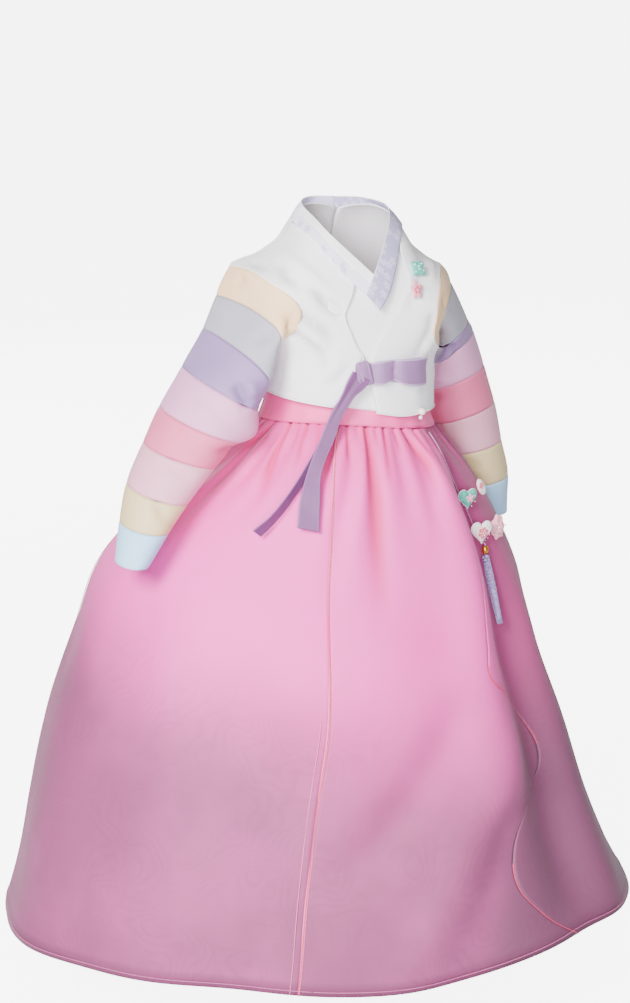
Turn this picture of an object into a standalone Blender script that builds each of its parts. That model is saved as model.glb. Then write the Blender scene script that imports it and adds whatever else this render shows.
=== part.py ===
"""A small girl's hanbok in its worn form: a striped-sleeve jacket over a full gathered skirt.

Metres, +Z up. The origin is the middle of the neck base, the front faces -Y and +X is the
wearer's left. The sleeves and the skirt are posed a little to the wearer's right, so their
tables are in a frame turned by POSE_TURN about +Z: across (to the left), depth (to the back), up.
"""
import math

import bmesh
import bpy
import numpy as np

COLLECTION = "hanbok"
POSE_TURN = math.radians(-15.0)
SEAM_GAP = 0.0003

JACKET_CLOTH = 0.0014
SLEEVE_CLOTH = 0.0014
SKIRT_CLOTH = 0.0014
LINING_CLOTH = 0.0010
RIBBON_CLOTH = 0.0012
COLLAR_CLOTH = 0.0014

# --- skirt --------------------------------------------------------------------------------
WAIST_Z = -0.1850
HEM_Z = -0.7235
HEM_TILT = 0.040
# the front of the hem hangs lowest: how much higher the rest is, its lowest turn and half spread
HEM_RISE, HEM_LOW_TURN, HEM_LOW_SPREAD = 0.016, 14.0, 26.0
BAND_FRONT_RISE = 0.010
BAND_SIDE_DROP = 0.005

# up, reach to the wearer's right, left, front and back
SKIRT_REACH = [
    (-0.1850, 0.0900, 0.0905, 0.081, 0.078),
    (-0.2050, 0.1120, 0.1050, 0.095, 0.094),
    (-0.2300, 0.1400, 0.1230, 0.111, 0.114),
    (-0.2730, 0.1930, 0.1480, 0.134, 0.146),
    (-0.3380, 0.2540, 0.1760, 0.162, 0.180),
    (-0.4250, 0.2900, 0.1980, 0.190, 0.206),
    (-0.5140, 0.3220, 0.2290, 0.213, 0.228),
    (-0.6040, 0.3420, 0.2590, 0.232, 0.247),
    (-0.6950, 0.3620, 0.2940, 0.246, 0.264),
    (-0.7235, 0.3710, 0.3060, 0.249, 0.268),
]
PLEATS = 30
PLEAT_DEPTH = 0.0026
COLUMNS_PER_PLEAT = 4
# share of the drop at each row of the skirt's mesh
SKIRT_ROWS = (0.0, 0.035, 0.085, 0.15, 0.25, 0.37, 0.52, 0.68, 0.84, 1.0)

# turn at the waist and at the hem (degrees), share of the drop where it starts and ends,
# height (m), half spread (degrees)
SKIRT_FOLDS = [
    (52, 46, -0.08, 0.82, 0.012, 9),
    (66, 58, -0.03, 1.06, -0.016, 9),
    (78, 68, 0.25, 1.06, 0.011, 8),
    (96, 92, 0.30, 1.06, -0.009, 9),
    (94, -14, 0.42, 0.85, -0.008, 7),
    (88, 19, 0.52, 1.06, 0.009, 8),
    (104, 24, 0.60, 1.06, -0.007, 7),
    (-34, -30, 0.20, 1.50, 0.006, 12),
    (-16, -14, 0.35, 1.50, -0.004, 9),
    (-62, -58, 0.25, 1.50, 0.007, 12),
    (-84, -82, 0.30, 1.50, -0.004, 10),
    (-110, -112, 0.20, 1.50, 0.009, 11),
    (-138, -134, 0.25, 1.50, -0.009, 11),
    (-160, -162, 0.15, 1.50, 0.010, 11),
    (176, 178, 0.30, 1.50, -0.008, 9),
    (152, 150, 0.20, 1.50, 0.011, 11),
    (126, 124, 0.30, 1.50, -0.010, 10),
]

# share of the drop, turn of the seam (degrees)
FRONT_SEAM = [
    (0.0, -4.5), (0.07, -2.0), (0.13, 1.2), (0.19, 3.8), (0.28, 5.8), (0.38, 7.0),
    (0.52, 6.6), (0.60, 4.8), (0.68, 2.9), (0.76, 1.3), (0.86, -0.6), (1.0, -2.6),
]
LEFT_SEAM = [
    (0.0, 54.0), (0.20, 54.0), (0.40, 50.0), (0.47, 49.5), (0.51, 55.0), (0.57, 61.5), (0.64, 64.0),
    (0.68, 62.0), (0.74, 50.0), (0.80, 44.5), (0.87, 43.0), (0.92, 46.0), (0.96, 49.5), (1.0, 54.5),
]
BACK_LEFT_SEAM = [(0.0, 126.0), (1.0, 124.0)]
BACK_SEAM = [(0.0, 186.0), (1.0, 184.0)]
BACK_RIGHT_SEAM = [(0.0, 258.0), (1.0, 260.0)]

LINING_END = 0.745
LINING_INSET = 0.0047
LINING_SLACK = 0.0075
LINING_COLUMNS = 40
LINING_ROWS = (0.01, 0.07, 0.17, 0.32, 0.52, LINING_END)

BAND_COLUMNS = 40
# up above the band's lower edge, reach to the right, left, front and back
BAND_REACH = [
    (0.000, 0.0905, 0.0910, 0.0815, 0.0785),
    (0.022, 0.0830, 0.0830, 0.0770, 0.0700),
    (0.060, 0.0800, 0.0800, 0.0750, 0.0660),
]

# --- jacket body --------------------------------------------------------------------------
CHEST_Z = -0.060
SECTION_POWER = 2.4
ROLL = 0.06
SHOULDER_SLUMP_START = 0.045
LEFT_SHOULDER_SLUMP = 0.16
RIGHT_SHOULDER_SLUMP = 0.12
SHOULDER_Y = 0.004
JACKET_HEM_Z = -0.160
JACKET_HEM_TILT = 0.0062
# up, half width, reach to the front, reach to the back
TORSO = [
    (-0.175, 0.0900, 0.088, 0.072),
    (-0.135, 0.0895, 0.088, 0.070),
    (-0.105, 0.0940, 0.087, 0.070),
    (-0.085, 0.1180, 0.085, 0.070),
    (-0.060, 0.1480, 0.082, 0.070),
    (-0.030, 0.1480, 0.080, 0.068),
    (0.030, 0.1480, 0.076, 0.064),
]
# distance from the middle, height of the shoulder line
SHOULDER = [
    (0.000, 0.040),
    (0.040, 0.034),
    (0.050, 0.026),
    (0.056, 0.018),
    (0.063, 0.007),
    (0.080, -0.006),
    (0.113, -0.018),
    (0.150, -0.032),
]
# The panels' tables are in turn (degrees from the front, to the left) and drop: 0 is the
# shoulder line, 1 the chest line and 2 the hem.
ARMHOLE_FRONT = [
    (48.0, 0.00), (44.0, 0.25), (34.0, 0.64), (24.0, 0.92), (23.0, 1.06),
    (34.0, 1.26), (56.0, 1.39), (90.0, 1.46),
]
ARMHOLE_BACK = [
    (48.0, 0.00), (43.0, 0.30), (37.0, 0.65), (34.0, 0.92), (35.0, 1.08),
    (46.0, 1.28), (66.0, 1.41), (90.0, 1.46),
]
# how far round each armhole lies from these tables, on the front and on the back: share of the
# way down the armhole, degrees
ARMHOLE_SHIFTS = {
    (-1, True): [(0.0, 3.5), (0.14, 2.0), (0.30, 0.5), (0.50, 0.0), (1.0, 0.0)],
    (-1, False): [(0.0, 3.5), (0.14, 2.6), (0.30, 1.2), (0.50, 0.2), (1.0, 0.0)],
    (1, True): [(0.0, -9.0), (0.14, -9.0), (0.28, -4.5), (0.43, 3.0), (0.57, 5.0), (0.71, 2.5), (0.86, 0.0), (1.0, 0.0)],
    (1, False): [(0.0, -9.0), (0.14, -5.0), (0.30, 0.0), (1.0, 0.0)],
}
# share of a panel's height that lies along the armhole, then share, turn and drop below it
ARMHOLE_END = 7 / 9
SIDE_SEAM = [(8 / 9, 90.0, 1.72), (1.0, 90.0, 2.0)]
# gaps that keep the panels apart at their seams, in turn and in drop
SEAM_TURN, SHOULDER_SEAM_DROP, ARMPIT_SEAM_DROP = 0.12, 0.004, 0.006
# inner edges, one row for each row of the armhole and the side seam
RIGHT_FRONT_EDGE = [
    (-18.6, 0.00), (-17.0, 0.33), (-12.0, 0.58), (-8.0, 0.79), (-6.0, 1.06),
    (-5.0, 1.26), (-3.4, 1.38), (-1.5, 1.48), (-7.0, 1.72), (-19.0, 2.0),
]
LEFT_FRONT_EDGE = [
    (19.6, 0.00), (17.0, 0.30), (13.2, 0.58), (9.8, 0.80), (11.0, 0.98),
    (5.0, 1.24), (2.2, 1.38), (0.5, 1.48), (1.4, 1.72), (4.0, 2.0),
]
BACK_NECK_EDGE = [
    (18.0, 0.00), (10.0, 0.30), (0.0, 0.42), (0.0, 0.80), (0.0, 1.06),
    (0.0, 1.26), (0.0, 1.38), (0.0, 1.48), (0.0, 1.72), (0.0, 2.0),
]
INNER_FRONT_EDGE = [
    (17.0, 0.00), (13.0, 0.33), (8.0, 0.62), (0.0, 0.80), (-10.5, 0.74),
    (-11.5, 1.08), (-11.0, 1.36), (-11.0, 1.50), (-15.0, 1.74), (-22.0, 1.985),
]
INNER_FRONT_FAR_EDGE = [
    (33.0, 0.00), (29.0, 0.30), (25.0, 0.58), (21.0, 0.84), (18.0, 1.02),
    (12.0, 1.22), (9.0, 1.38), (8.0, 1.50), (9.0, 1.74), (12.0, 1.985),
]
INNER_FRONT_LIFT = -0.0036
PANEL_COLUMNS = 8

# --- collar -------------------------------------------------------------------------------
# Lower edge: share of the way from the middle of the back to the front end, turn and drop on
# the jacket body, 1 on its front or 0 on its back, lift off it (m).
COLLAR_RIGHT_LOWER = [
    (0.00, -0.4, 0.42, 0, 0.0022),
    (0.20, -10.0, 0.30, 0, 0.0036),
    (0.40, -18.0, 0.02, 1, 0.0030),
    (0.60, -15.5, 0.42, 1, 0.0026),
    (0.75, -9.0, 0.68, 1, 0.0026),
    (0.88, -3.5, 0.82, 1, 0.0022),
    (1.00, 2.5, 0.94, 1, 0.0022),
]
COLLAR_LEFT_LOWER = [
    (0.00, 0.4, 0.42, 0, 0.0022),
    (0.20, 10.0, 0.30, 0, 0.0038),
    (0.38, 18.0, 0.02, 1, 0.0032),
    (0.54, 15.0, 0.36, 1, 0.0010),
    (0.68, 12.0, 0.56, 1, 0.0008),
    (0.80, 9.5, 0.72, 1, 0.0022),
    (0.92, 6.0, 0.90, 1, 0.0038),
    (1.00, 3.0, 1.00, 1, 0.0048),
]
# Upper edge: share, x, y, z.
COLLAR_RIGHT_UPPER = [
    (0.00, -0.0004, 0.0470, 0.0370),
    (0.20, -0.0290, 0.0370, 0.0390),
    (0.40, -0.0450, 0.0050, 0.0370),
    (0.60, -0.0380, -0.0330, 0.0240),
    (0.75, -0.0280, -0.0540, 0.0110),
    (0.88, -0.0090, -0.0660, -0.0080),
    (1.00, 0.0130, -0.0735, -0.0290),
]
COLLAR_LEFT_UPPER = [
    (0.00, 0.0004, 0.0470, 0.0370),
    (0.20, 0.0290, 0.0370, 0.0360),
    (0.38, 0.0440, 0.0050, 0.0320),
    (0.54, 0.0370, -0.0300, 0.0210),
    (0.68, 0.0275, -0.0510, 0.0080),
    (0.80, 0.0180, -0.0660, -0.0080),
    (0.92, 0.0070, -0.0765, -0.0280),
    (1.00, -0.0010, -0.0810, -0.0435),
]
COLLAR_STEPS = 18
STRIP_SHARE = 0.42
STRIP_START = 0.42
STRIP_END = 0.90
STRIP_LIFT = 0.0008

# --- sleeves ------------------------------------------------------------------------------
STRIPES = ("cream", "mist", "lavender", "lilac", "rose", "blush", "butter", "sky")
# seam number; shoulder-side fold across, depth, up; under-side fold across, depth, up;
# fullness in front (m), lean of the front towards the body (degrees)
RIGHT_SLEEVE = [
    (1, -0.1310, -0.030, -0.0520, -0.0920, -0.045, -0.1010, 0.072, 38),
    (2, -0.1450, -0.040, -0.0840, -0.0860, -0.060, -0.1360, 0.060, 28),
    (3, -0.1655, -0.054, -0.1205, -0.0900, -0.080, -0.1570, 0.047, 12),
    (4, -0.1880, -0.068, -0.1575, -0.1085, -0.090, -0.1880, 0.041, 6),
    (5, -0.2040, -0.084, -0.1910, -0.1300, -0.100, -0.2130, 0.036, 3),
    (6, -0.2200, -0.098, -0.2295, -0.1575, -0.113, -0.2480, 0.033, 0),
    (7, -0.2270, -0.112, -0.2650, -0.1760, -0.126, -0.2750, 0.030, 0),
    (8, -0.2310, -0.128, -0.3020, -0.1960, -0.138, -0.3065, 0.024, 0),
]
LEFT_SLEEVE = [
    (1, 0.1080, 0.028, -0.0490, 0.0930, 0.045, -0.1000, 0.058, 0),
    (2, 0.1270, 0.055, -0.0920, 0.0950, 0.065, -0.1210, 0.053, 0),
    (3, 0.1335, 0.066, -0.1060, 0.0880, 0.078, -0.1420, 0.049, 0),
    (4, 0.1450, 0.079, -0.1450, 0.0850, 0.082, -0.1700, 0.045, 0),
    (5, 0.1575, 0.087, -0.1860, 0.0930, 0.083, -0.2070, 0.039, 0),
    (6, 0.1660, 0.094, -0.2290, 0.1090, 0.088, -0.2420, 0.035, 0),
    (7, 0.1740, 0.101, -0.2690, 0.1300, 0.095, -0.2780, 0.032, 0),
    (8, 0.1735, 0.107, -0.3110, 0.1410, 0.103, -0.3100, 0.026, 0),
]
BACK_FULLNESS = 0.72
SLEEVE_HALF_COLUMNS = 10
SLEEVE_STEPS = 2
ELBOW_POUCH = 0.012


# --- ribbon (goreum) ----------------------------------------------------------------------
# The loop: share, turn on the jacket, lift, drop of its top edge, drop of its bottom edge.
RIBBON_LOOP = [
    (0.00, 1.6, 0.0060, 1.50, 1.70),
    (0.15, 7.0, 0.0080, 1.46, 1.68),
    (0.26, 13.0, 0.0062, 1.45, 1.65),
    (0.36, 19.0, 0.0092, 1.44, 1.68),
    (0.48, 33.0, 0.0090, 1.44, 1.70),
    (0.56, 39.5, 0.0070, 1.44, 1.70),
    (0.60, 41.0, 0.0048, 1.44, 1.70),
    (0.64, 39.5, 0.0018, 1.44, 1.70),
    (0.74, 30.0, 0.0007, 1.45, 1.69),
    (0.90, 12.0, 0.0007, 1.46, 1.67),
    (1.00, 3.0, 0.0007, 1.49, 1.68),
]
RIBBON_LOOP_STEPS = 26
# The tails: share; left edge across, depth, up; right edge across, depth, up.
WIDE_TAIL = [
    (0.00, 0.0020, -0.0945, -0.1312, 0.0199, -0.0910, -0.1355),
    (0.14, -0.0020, -0.0950, -0.1382, 0.0110, -0.0930, -0.1417),
    (0.29, -0.0090, -0.0970, -0.1499, 0.0030, -0.0960, -0.1522),
    (0.43, -0.0169, -0.1000, -0.1635, -0.0050, -0.0990, -0.1658),
    (0.57, -0.0249, -0.1040, -0.1820, -0.0110, -0.1030, -0.1833),
    (0.71, -0.0378, -0.1170, -0.2127, -0.0239, -0.1190, -0.2132),
    (0.86, -0.0456, -0.1310, -0.2399, -0.0258, -0.1330, -0.2404),
    (1.00, -0.0485, -0.1440, -0.2652, -0.0267, -0.1460, -0.2688),
]
THIN_TAIL = [
    (0.00, 0.0040, -0.0915, -0.1333, 0.0179, -0.0885, -0.1364),
    (0.14, -0.0020, -0.0920, -0.1409, 0.0080, -0.0905, -0.1431),
    (0.29, -0.0110, -0.0940, -0.1526, -0.0030, -0.0930, -0.1538),
    (0.43, -0.0179, -0.0965, -0.1664, -0.0120, -0.0960, -0.1675),
    (0.57, -0.0249, -0.1005, -0.1847, -0.0190, -0.0985, -0.1874),
    (0.71, -0.0457, -0.1240, -0.2181, -0.0398, -0.1160, -0.2242),
    (0.86, -0.0712, -0.1430, -0.2501, -0.0656, -0.1330, -0.2578),
    (1.00, -0.0919, -0.1500, -0.2667, -0.0843, -0.1420, -0.2750),
]
TAIL_STEPS = 14
KNOT_TURN, KNOT_DROP, KNOT_LIFT = -3.2, 1.637, 0.0048
KNOT_SIZE = (0.0180, 0.0190, 0.0080)

# --- small ornaments ----------------------------------------------------------------------
PEARL_TURN, PEARL_DROP, PEARL_RADIUS = 37.0, 1.97, 0.0038
BEAD_RADIUS = 0.0021
CORD_DIAMETER = 0.0018
NORIGAE_BEAD_SPOT, NORIGAE_BEAD_RADIUS, NORIGAE_BEAD_STRETCH = (65.6, 0.2410, 0.0072), 0.0034, 1.4
BEAD_END_GAP = 0.0007
# turn and drop on the skirt and the lift of the cord's middle off it, down to above the bead
CORD_ROUTE = [
    (57.5, 0.006, 0.0044),
    (60.0, 0.030, 0.0044),
    (62.5, 0.060, 0.0044),
    (64.5, 0.095, 0.0044),
    (65.5, 0.130, 0.0044),
    (66.0, 0.165, 0.0040),
    (66.0, 0.205, 0.0036),
    (65.9, 0.2230, 0.0044),
]
CORD_STEPS = 26
TASSEL_TIP = (60.5, 0.380, 0.0095)
TASSEL_HEAD_RADIUS = 0.0046
TASSEL_HEAD_LENGTH = 0.0075
STRAND_WIDTH = 0.0010
STRAND_RINGS = ((1, 0.0), (6, 0.0018), (12, 0.0035))
STRAND_SIDES = 4


def through(rows, at):
    """Smooth value of a table's columns at one value of its first column."""
    table = np.asarray(sorted(rows), float)
    keys, values = table[:, 0], table[:, 1:]
    slopes = np.gradient(values, keys, axis=0)
    at = min(max(at, keys[0]), keys[-1])
    i = min(max(int(np.searchsorted(keys, at)) - 1, 0), len(keys) - 2)
    width = keys[i + 1] - keys[i]
    f = (at - keys[i]) / width
    return ((2 * f ** 3 - 3 * f ** 2 + 1) * values[i] + (f ** 3 - 2 * f ** 2 + f) * width * slopes[i]
            + (3 * f ** 2 - 2 * f ** 3) * values[i + 1] + (f ** 3 - f ** 2) * width * slopes[i + 1])


def smoothstep(low, high, value):
    """0 below low, 1 above high and a soft rise between them."""
    f = min(max((value - low) / (high - low), 0.0), 1.0)
    return f * f * (3 - 2 * f)


def posed(across, depth, up):
    """A point of the turned frame in the part's frame."""
    return np.array([across * math.cos(POSE_TURN) - depth * math.sin(POSE_TURN),
                     across * math.sin(POSE_TURN) + depth * math.cos(POSE_TURN), up])


# --- surfaces -----------------------------------------------------------------------------
def ring(reach, turn):
    """Across, depth and the outward normal of an oval with four reaches, at a turn from the front."""
    right, left, front, back = reach
    half_width, half_depth = (right + left) / 2, (front + back) / 2
    normal = np.array([math.sin(turn) / half_width, -math.cos(turn) / half_depth])
    across = (left - right) / 2 + half_width * math.sin(turn)
    depth = (back - front) / 2 - half_depth * math.cos(turn)
    return across, depth, normal / np.linalg.norm(normal)


def band_edge(turn):
    """Height of the seam between the waistband and the skirt."""
    rise = BAND_FRONT_RISE * max(0.0, math.cos(turn)) ** 2
    return WAIST_Z + rise - BAND_SIDE_DROP * math.sin(turn)


def skirt_folds(turn_deg, drop):
    """Outward push of the skirt's large folds."""
    push = 0.0
    for at_waist, at_hem, start, end, height, spread in SKIRT_FOLDS:
        away = (turn_deg - (at_waist + (at_hem - at_waist) * drop) + 180) % 360 - 180
        window = smoothstep(start, start + 0.18, drop) * (1 - smoothstep(end - 0.15, end, drop))
        push += height * window * math.exp(-(away / spread) ** 2)
    return push


def skirt_pleats(turn_deg, drop):
    """Outward push of the small gathers below the waistband."""
    turn = math.radians(turn_deg)
    length = 0.26 + 0.06 * math.sin(5 * turn + 0.6) + 0.04 * math.sin(11 * turn)
    depth = PLEAT_DEPTH * (0.85 + 0.2 * math.sin(7 * turn + 1.0) + 0.15 * math.sin(13 * turn))
    fade = 0.45 + 0.55 * smoothstep(0.0, 0.05, drop)
    return depth * fade * (1 - smoothstep(0.04, length, drop)) * math.cos(PLEATS * turn)


def skirt_point(turn_deg, drop, inset=0.0, pleated=1.0):
    """A point of the skirt's outer face: turn in degrees from the front, drop 0 waist to 1 hem."""
    turn = math.radians(turn_deg)
    level = WAIST_Z + (HEM_Z - WAIST_Z) * drop
    across, depth, normal = ring(through(SKIRT_REACH, level), turn)
    push = skirt_folds(turn_deg, drop) + pleated * skirt_pleats(turn_deg, drop) - inset
    across, depth = across + push * normal[0], depth + push * normal[1]
    away = (turn_deg - HEM_LOW_TURN + 180) % 360 - 180
    rise = HEM_TILT * across + HEM_RISE * (1 - math.exp(-(away / HEM_LOW_SPREAD) ** 2))
    up = level + (1 - drop) * (band_edge(turn) - WAIST_Z - SEAM_GAP) + drop * rise
    return posed(across, depth, up)


def lining_point(turn_deg, drop):
    """A point of the under-layer's outer face, hanging a little clear of the skirt."""
    return skirt_point(turn_deg, drop, LINING_INSET + LINING_SLACK * smoothstep(0.0, 0.12, drop), 0.0)


def band_point(turn_deg, height):
    """A point of the waistband's outer face, height above its lower edge."""
    turn = math.radians(turn_deg)
    across, depth, _ = ring(through(BAND_REACH, height), turn)
    return posed(across, depth, band_edge(turn) + height)


def torso_point(turn_deg, drop, front=True, lift=0.0):
    """A point of the jacket's outer face, lifted off it along the outward direction."""
    turn = math.radians(turn_deg)
    side = math.copysign(abs(math.sin(turn)) ** (2 / SECTION_POWER), turn)
    toward = abs(math.cos(turn)) ** (2 / SECTION_POWER)
    if drop < 1:
        climb = math.sin((1 - drop) * math.pi / 2)
        toward *= math.cos((1 - drop) * math.pi / 2)
        x = through(TORSO, CHEST_Z)[0] * side
        z = CHEST_Z + climb * (through(SHOULDER, abs(x))[0] - CHEST_Z)
    else:
        hem = JACKET_HEM_Z - JACKET_HEM_TILT * math.sin(turn)
        hem -= 0.005 * math.exp(-((turn_deg - 20) / 22) ** 2)
        z = CHEST_Z - (drop - 1) * (CHEST_Z - hem)
        x = through(TORSO, z)[0] * side
    _, reach_front, reach_back = through(TORSO, z)
    y = SHOULDER_Y + (-reach_front if front else reach_back) * toward
    slump = LEFT_SHOULDER_SLUMP if x > 0 else RIGHT_SHOULDER_SLUMP
    shoulder_drop = slump * max(0.0, abs(x) - SHOULDER_SLUMP_START) * (1 - smoothstep(0.0, 1.3, drop))
    point = np.array([x, y, z - ROLL * x - shoulder_drop])
    return point + lift * torso_outward(point)


def torso_outward(point):
    """Outward direction of the jacket's rounded body."""
    away = np.array([point[0] / 0.13 ** 2, point[1] / 0.085 ** 2, max(0.0, point[2] + 0.09) / 0.13 ** 2])
    return away / np.linalg.norm(away)


def armhole_point(side, turn):
    """A point of the armhole: turn 0 at the shoulder, 180 (degrees) under the arm, through the front."""
    angle, drop, front = armhole_place(side, turn)
    return torso_point(side * angle, drop, front)


def armhole_place(side, turn):
    """Turn and drop on the jacket body of a point of the armhole, and if it is on the front."""
    front = turn <= 180
    rows = ARMHOLE_FRONT if front else ARMHOLE_BACK
    share = turn / 180 if front else (360 - turn) / 180
    angle, drop = through([(i / (len(rows) - 1), *row) for i, row in enumerate(rows)], share)
    return angle + through(ARMHOLE_SHIFTS[side, front], share)[0], drop, front


def armhole_normal(side, turn):
    """Outward direction of the jacket at a point of the armhole, shared by both sides of the seam."""
    angle, drop, front = armhole_place(side, turn)
    angle, drop, step = min(angle, 88.0), max(drop, 0.02), 0.5
    along = torso_point(side * (angle + step), drop, front) - torso_point(side * (angle - step), drop, front)
    down = torso_point(side * angle, drop + 0.02, front) - torso_point(side * angle, drop - 0.02, front)
    normal = np.cross(down, along) * (side if front else -side)
    return normal / np.linalg.norm(normal)


def sleeve_ring(row, turn):
    """A point of one sleeve seam's ring."""
    outer = np.array(row[1:4])
    inner = np.array(row[4:7])
    fullness, lean = row[7], math.radians(row[8])
    middle = (outer + inner) / 2
    angle = math.radians(turn)
    if turn <= 180:
        swell = np.array([math.sin(lean), -math.cos(lean), 0.0]) * fullness
    else:
        swell = np.array([0.0, -1.0, 0.0]) * fullness * BACK_FULLNESS
    flat = middle + (outer - middle) * math.cos(angle) + swell * math.sin(angle)
    return posed(*flat)


def sleeve_point(side, along, turn):
    """A point of a sleeve's outer face: along 0 at the armhole to 8 at the cuff."""
    rows = RIGHT_SLEEVE if side < 0 else LEFT_SLEEVE
    seams = [(0.0, *armhole_point(side, turn))]
    seams += [(float(row[0]), *sleeve_ring(row, turn)) for row in rows]
    point = through(seams, along)
    if side < 0:
        under = math.exp(-((turn - 175) / 38) ** 2) * math.exp(-((along - 3.55) / 0.42) ** 2)
        point = point + ELBOW_POUCH * under * posed(0.75, 0.0, -0.65)
    return point


def collar_point(lower, upper, share, height):
    """A point of a collar band's outer face: height 0 at its lower edge, 1 at its upper edge."""
    edge = [(row[0], *torso_point(row[1], row[2], row[3] == 1, row[4])) for row in lower]
    low, high = through(edge, share), through(upper, share)
    return low + (high - low) * height


def loop_point(along, width):
    """A point of the ribbon loop's outer face, from the knot round the loop's end and back."""
    turn, lift, top, bottom = through(RIBBON_LOOP, along)
    return torso_point(turn, top + (bottom - top) * width, True, lift)


def tail_point(rows, along, width):
    """A point of a ribbon tail's outer face: width 0 at its right edge, 1 at its left edge."""
    values = through(rows, along)
    return posed(*(values[:3] + (values[3:] - values[:3]) * width))


# --- mesh helpers -------------------------------------------------------------------------
def finish_material(name, color, roughness, metallic=0.0):
    """A Principled material for one piece."""
    material = bpy.data.materials.new(name)
    material.use_nodes = True
    shader = material.node_tree.nodes["Principled BSDF"]
    shader.inputs["Base Color"].default_value = (*color, 1.0)
    shader.inputs["Roughness"].default_value = roughness
    shader.inputs["Metallic"].default_value = metallic
    return material


def link(bm, name, collection, color, roughness=0.6, metallic=0.0):
    """Turn a bmesh into a named object of the collection."""
    bmesh.ops.recalc_face_normals(bm, faces=bm.faces)
    mesh = bpy.data.meshes.new(name)
    bm.to_mesh(mesh)
    bm.free()
    mesh.shade_smooth()
    mesh.set_sharp_from_angle(angle=math.radians(40))
    mesh.materials.append(finish_material(name, color, roughness, metallic))
    obj = bpy.data.objects.new(name, mesh)
    collection.objects.link(obj)
    return obj


def wall(name, collection, color, surface, us, vs, thickness, closed=False, outward=1.0, first_normal=None):
    """A cloth wall: its outer face is surface(u, v), its inner face lies thickness inside it.

    us run along the cloth and vs down it; closed joins the last u to the first, and outward is
    -1 where the cross product of down and along points into the wearer. first_normal(u) gives
    the outward direction on the first row, where that edge is sewn to another piece.
    """
    nudge_u = (us[1] - us[0]) * 0.05
    nudge_v = (vs[1] - vs[0]) * 0.05

    def pair(u, v):
        point = surface(u, v)
        along = surface(u + nudge_u, v) - surface(u - nudge_u, v)
        down = surface(u, v + nudge_v) - surface(u, v - nudge_v)
        normal = outward * np.cross(down, along)
        if first_normal and v == vs[0]:
            normal = first_normal(u)
        return point, point - thickness * normal / np.linalg.norm(normal)

    bm = bmesh.new()
    outer, inner = [], []
    for v in vs:
        pairs = [pair(u, v) for u in us]
        outer.append([bm.verts.new(p) for p, _ in pairs])
        inner.append([bm.verts.new(q) for _, q in pairs])
    rows, columns = len(vs), len(us)
    spans = columns if closed else columns - 1
    for r in range(rows - 1):
        for c in range(spans):
            d = (c + 1) % columns
            bm.faces.new((outer[r][c], outer[r + 1][c], outer[r + 1][d], outer[r][d]))
            bm.faces.new((inner[r][c], inner[r][d], inner[r + 1][d], inner[r + 1][c]))
    for c in range(spans):
        d = (c + 1) % columns
        bm.faces.new((outer[0][c], outer[0][d], inner[0][d], inner[0][c]))
        bm.faces.new((outer[-1][c], inner[-1][c], inner[-1][d], outer[-1][d]))
    if not closed:
        for r in range(rows - 1):
            bm.faces.new((outer[r][0], inner[r][0], inner[r + 1][0], outer[r + 1][0]))
            bm.faces.new((outer[r][-1], outer[r + 1][-1], inner[r + 1][-1], inner[r][-1]))
    return link(bm, name, collection, color)


def face_frame(facing, tilt=0.0):
    """Right, up and outward axes of a flat ornament, as a viewer in front of it sees them."""
    outward = facing / np.linalg.norm(facing)
    right = np.cross((0.0, 0.0, 1.0), outward)
    right /= np.linalg.norm(right)
    upward = np.cross(outward, right)
    cosine, sine = math.cos(tilt), math.sin(tilt)
    return right * cosine + upward * sine, upward * cosine - right * sine, outward


def pad(name, collection, color, outline, centre, frame, thickness, roughness=0.6):
    """A small stuffed ornament: its outline swells to the full size half way through it."""
    right, upward, outward = frame
    bm = bmesh.new()
    rings = []
    for share, height in ((0.80, 0.0), (1.0, 0.32), (1.0, 0.62), (0.78, 1.0)):
        points = [centre + share * (x * right + y * upward) + (height - 0.5) * thickness * outward
                  for x, y in outline]
        rings.append([bm.verts.new(point) for point in points])
    count = len(outline)
    for low, high in zip(rings, rings[1:]):
        for i in range(count):
            j = (i + 1) % count
            bm.faces.new((low[i], low[j], high[j], high[i]))
    for verts in (rings[0], rings[-1]):
        middle = bm.verts.new(sum((v.co for v in verts[1:]), verts[0].co.copy()) / count)
        for i in range(count):
            bm.faces.new((verts[i], verts[(i + 1) % count], middle))
    return link(bm, name, collection, color, roughness)


def heart_outline(width, steps=20):
    """A heart of the given width round its middle."""
    unit = width / 32
    points = []
    for i in range(steps):
        t = 2 * math.pi * (i + 0.5) / steps
        x = 16 * math.sin(t) ** 3
        y = 13 * math.cos(t) - 5 * math.cos(2 * t) - 2 * math.cos(3 * t) - math.cos(4 * t)
        points.append((x * unit, (y + 2) * unit))
    return points


def lobed_outline(width, height, lobes, depth, steps=24, start=0.0):
    """An oval with evenly spaced round lobes."""
    points = []
    for i in range(steps):
        t = 2 * math.pi * i / steps
        reach = 1 - depth * (0.5 - 0.5 * math.cos(lobes * (t - start)))
        points.append((width / 2 * reach * math.cos(t), height / 2 * reach * math.sin(t)))
    return points


def skirt_outward(turn_deg, drop, lean=0.0):
    """Outward direction of the skirt, leant by degrees towards the front."""
    turn = math.radians(turn_deg - lean)
    return posed(math.sin(turn), -math.cos(turn), 0.0)


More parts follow.
